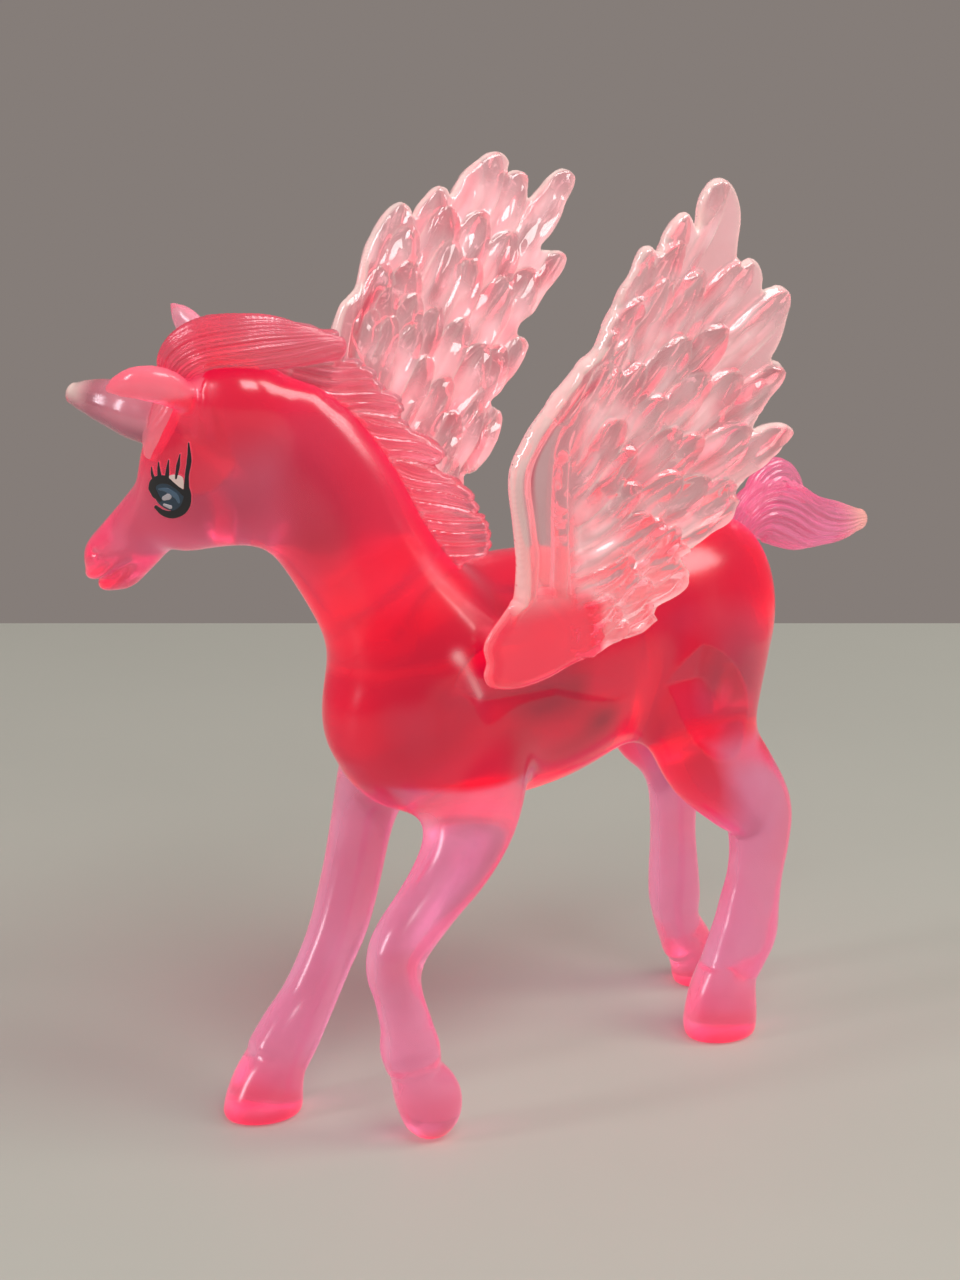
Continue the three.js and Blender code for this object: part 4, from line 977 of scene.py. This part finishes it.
def paint(name, colour, rough, patch=0.04, scale=14.0):
    """An opaque finish with a faint mottling of its colour."""
    mat = bpy.data.materials.new(name)
    mat.use_nodes = True
    nt = mat.node_tree
    bsdf = nt.nodes["Principled BSDF"]
    coords = node(nt, "ShaderNodeTexCoord")
    tex = node(nt, "ShaderNodeTexNoise", Scale=scale, Detail=5.0, Roughness=0.6)
    nt.links.new(coords.outputs["Object"], tex.inputs["Vector"])
    ramp = node(nt, "ShaderNodeValToRGB")
    for element, by in zip(ramp.color_ramp.elements, (1 - patch, 1 + patch)):
        element.color = (*(min(c * by, 1) for c in colour), 1)
    nt.links.new(tex.outputs["Fac"], ramp.inputs["Fac"])
    nt.links.new(ramp.outputs["Color"], bsdf.inputs["Base Color"])
    bsdf.inputs["Roughness"].default_value = rough
    return mat


CREAM = (1, 0.74, 0.64)
# The glow under the painted shade, and the colour that shadow rays take through the plastic
PLUM_SHADE_GLOW, SHADOW_TINT = (0.06, 0, 0.01), (0.62, 0.74, 0.72, 1)
BODY = plastic("body_plastic", (1, 0.68, 0.86), (0.96, 0.01, 0.028), (0.28, 0.03, 0.085), CREAM,
               milk=(0.11, 0.6), absorb=(0.007, 0.103, 0.058), rough=0.22, coat=(0.5, 0.17),
               glow=((0.56, 0.05, 0.19), (1, 0.016, 0.155)), glow_by=0.14, edge_by=0.17)
WING = plastic("wing_plastic", (1, 0.68, 0.71), (0.95, 0.05, 0.13), (0.7, 0.3, 0.4), (1, 0.88, 0.8),
               milk=(0.03, 0.74), absorb=(0.004, 0.09, 0.072), rough=0.06, coat=(0.9, 0.05),
               glow=((1, 0.6, 0.62), (1, 0.05, 0.16)), glow_by=0.09, edge_by=0.12)
MANE = plastic("mane_plastic", (1, 0.46, 0.56), (0.95, 0.09, 0.18), (0.6, 0.1, 0.2), (1, 0.62, 0.64),
               milk=(0.25, 0.55), absorb=(0.01, 0.13, 0.09), rough=0.17, coat=(0.5, 0.12),
               glow=((0.8, 0.12, 0.2), (1, 0.06, 0.16)), glow_by=0.05, edge_by=0.1)
TAIL_MAT = plastic("tail_plastic", (1, 0.46, 0.66), (0.9, 0.1, 0.3), (0.6, 0.2, 0.5), (1, 0.62, 0.5),
                   milk=(0.25, 0.6), absorb=(0.01, 0.11, 0.055), rough=0.2, coat=(0.5, 0.12),
                   glow=((1, 0.12, 0.3), (1, 0.05, 0.2)), glow_by=0.05, edge_by=0.1)
HORN = plastic("horn_plastic", (1, 0.48, 0.57), (0.9, 0.2, 0.3), (0.4, 0.14, 0.24), (1, 0.84, 0.74),
               milk=(0.15, 0.75), absorb=(0.01, 0.13, 0.09), rough=0.15, coat=(0.5, 0.12),
               glow=((1, 0.2, 0.25), (1, 0.05, 0.1)), glow_by=0.02, edge_by=0.06)
PRINT = {layer: paint(f"print_{name}", colour, rough, patch, 1500) for layer, name, colour, rough, patch in (
    ("backing", "backing", (0.8, 0.13, 0.2), 0.4, 0.1), ("black", "black", (0.008, 0.007, 0.01), 0.35, 0.3),
    ("iris", "iris", (0.02, 0.045, 0.075), 0.3, 0.3), ("pale", "slate", (0.07, 0.13, 0.2), 0.3, 0.2),
    ("glint", "glint", (0.5, 0.47, 0.5), 0.3, 0.1), ("white", "white", (0.85, 0.66, 0.6), 0.35, 0.06))}


def put(name, v, f, mat, body, slot, *nodes, tone=None):
    me = mesh_of(name, (np.asarray(v) * MM) + SHIFT, f)
    me.materials.append(mat)
    me.shade_smooth()
    for attribute in ("rim", "haze", "deep", "plum_shade"):
        values = np.clip((tone or {}).get(attribute, 0), 0, 1) * np.ones(len(me.vertices))
        me.attributes.new(attribute, "FLOAT", "POINT").data.foreach_set("value", values)
    o = placed(name, me)
    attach(o, body)
    if nodes:
        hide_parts(*nodes)
    return o


def skin_mesh():
    """The skin of the body in one piece, with its creases filled, the mouth pressed in and the flanks kept
    clear of the wings."""
    parts = body_parts()
    fill_v, fill_f = remesh(parts, FILL_VOXEL)
    high = soft(fill_v[:, 2], 19, 29)
    fill_v = relax(fill_v, edges_of(fill_f), 46, weight=0.6 * high, keep=False)
    fill_v = fill_v - normals(fill_v, fill_f) * (0.5 - 0.3 * high)[:, None]
    v, f = remesh(parts + [(fill_v, fill_f.tolist())], SKIN_VOXEL)
    e = edges_of(f)
    v = relax(v, e, 4)
    filled = relax(v, e, int(3.5 / SKIN_VOXEL ** 2), keep=False)
    n = normals(v, f)
    rise = np.maximum(np.sum((filled - v) * n, axis=1), 0)
    ahead, _, above = in_head(v).T
    ears = soft(above, 3.5, 5) * (ahead > 0)
    muzzle = soft(ahead, 7, 10) * (above < 0)
    kept = 1 - 0.75 * ears - 0.6 * (v[:, 2] < 12)
    v = v + n * (rise * np.clip(kept, 0, 1))[:, None]
    calm = soft(v[:, 2], 20, 27) * (1 - ears) * (1 - 0.8 * muzzle)
    v = relax(v, e, int(9 / SKIN_VOXEL ** 2), weight=0.5 * calm, keep=False)
    v = v + normals(v, f) * 0.14 * calm[:, None]
    v = relax(v, e, 6)
    v = mouth(v, normals(v, f))
    for side in SIGN:
        axes = wing_axes(side)
        across, up, out = ((v - PIVOT * np.array([SIGN[side], 1, 1])) @ axis for axis in axes)
        beyond = np.maximum(-inside_polygon(across, up, LAND), 0)
        over = np.maximum(out + 1.2 - 0.5 * beyond, 0) * (out > -6) * (out < 4)
        v = v - over[:, None] * axes[2]
        v = relax(v, e, 25, weight=0.5 * soft(over, 0, 0.05) * soft(beyond, 0, 1), keep=False)
    v[:, 2] = np.maximum(v[:, 2], 0)
    return v, f


skin_v, skin_f = skin_mesh()
skin = BVHTree.FromPolygons(skin_v.tolist(), skin_f.tolist())
tone = body_tones(skin_v, normals(skin_v, skin_f))
put("foal_body", skin_v, skin_f, BODY, "figure", "body", "body", tone=tone)

for side in SIGN:
    v, f, tone = wing_mesh(side)
    put(f"wing_{side}_feathers", v, f, WING, f"wing_{side}", "wing", f"wing_{side}", tone=tone)
    for colour, v, f in eye_meshes(skin, side):
        put(f"eye_{side}_{colour}", v, f, PRINT[colour], "figure", "eye", f"eye_{side}")

v, f, tone = crest_mesh(skin)
put("mane_crest", v, f, MANE, "figure", "mane", "mane", tone=tone)
(v, f), (brow_v, brow_f) = forelock_meshes(skin)
put("forelock", v, f, MANE, "figure", "mane", tone={"deep": 0.12 + 0.4 * soft(in_head(v)[:, 0], -7, 0)})
put("brow_lock", brow_v, brow_f, MANE, "figure", "mane", tone={"deep": 0.1, "rim": 0.25, "haze": 0.5})
(v, f), (hump_v, hump_f) = tail_meshes()
tip, hump_tip = soft(v[:, 1], 47, 53), soft(hump_v[:, 1], 47, 53)
put("tail_hair", v, f, TAIL_MAT, "figure", "tail", "tail", tone={"rim": tip, "haze": tip})
put("tail_hump", hump_v, hump_f, TAIL_MAT, "figure", "tail", tone={"rim": hump_tip, "haze": hump_tip})
v, f, tone = horn_mesh()
put("horn_cone", v, f, HORN, "figure", "horn", "horn", tone=tone)


# Stage, camera and lights
aim = Vector((0, 0, CAM_AIM)) * MM + Vector(SHIFT)
back, right, level = Vector(CAM_BACK), Vector(CAM_RIGHT), Vector(CAM_LEVEL)

ground = aim - Vector((0, 0, aim.z))
corners = [ground + level * far + right * wide for far, wide in FLOOR]
floor_v = [tuple(c + Vector((0, 0, z))) for z in (0, -0.02) for c in corners]
floor_f = [(3, 2, 1, 0), (4, 5, 6, 7), (0, 1, 5, 4), (1, 2, 6, 5), (2, 3, 7, 6), (3, 0, 4, 7)]
floor_me = mesh_of("floor", np.array(floor_v), floor_f)
floor_me.materials.append(paint("floor_paint", (0.5, 0.51, 0.45), 0.6))
placed("floor", floor_me)

world = bpy.data.worlds.new("room")
bpy.context.scene.world = world
world.use_nodes = True
world.node_tree.nodes["Background"].inputs["Color"].default_value = (0.235, 0.205, 0.19, 1)
world.node_tree.nodes["Background"].inputs["Strength"].default_value = 1.0


def hang(name, data, at):
    """Puts a camera or a light at a place about the aim, facing it."""
    o = placed(name, data)
    o.location = aim + at
    o.rotation_mode = "QUATERNION"
    o.rotation_quaternion = (-at).to_track_quat("-Z", "Y")
    return o


lens = bpy.data.cameras.new("camera")
lens.lens, lens.sensor_width = 96.5, 36.0
lens.clip_start, lens.clip_end = 0.01, 20
bpy.context.scene.camera = hang("camera", lens, back * CAM_FAR * MM)

# Each soft light: its place about the aim and its size, in metres, its power and its colour
for name, at, size, power, colour in (
        ("key", right * 0.45 + back * 0.1 + Vector((0, 0, 0.42)), (0.32, 0.32), 2.0, (1, 0.98, 0.95)),
        ("top", right * 0.14 + level * 0.42 + Vector((0, 0, 0.56)), (0.36, 0.24), 2.2, (0.97, 0.98, 1)),
        ("side", right * -0.55 + level * 0.28 + Vector((0, 0, 0.26)), (0.1, 0.34), 1.3, (1, 0.9, 0.98))):
    light = bpy.data.lights.new(name, "AREA")
    light.shape = "RECTANGLE"
    light.size, light.size_y = size
    light.energy, light.color = power, colour
    hang(name, light, at)

scene = bpy.context.scene
scene.view_settings.view_transform = "Standard"
scene.cycles.max_bounces = 16
scene.cycles.blur_glossy = 1.0
scene.cycles.sample_clamp_indirect = 3.0
scene.cycles.transmission_bounces = 14
scene.cycles.transparent_max_bounces = 16
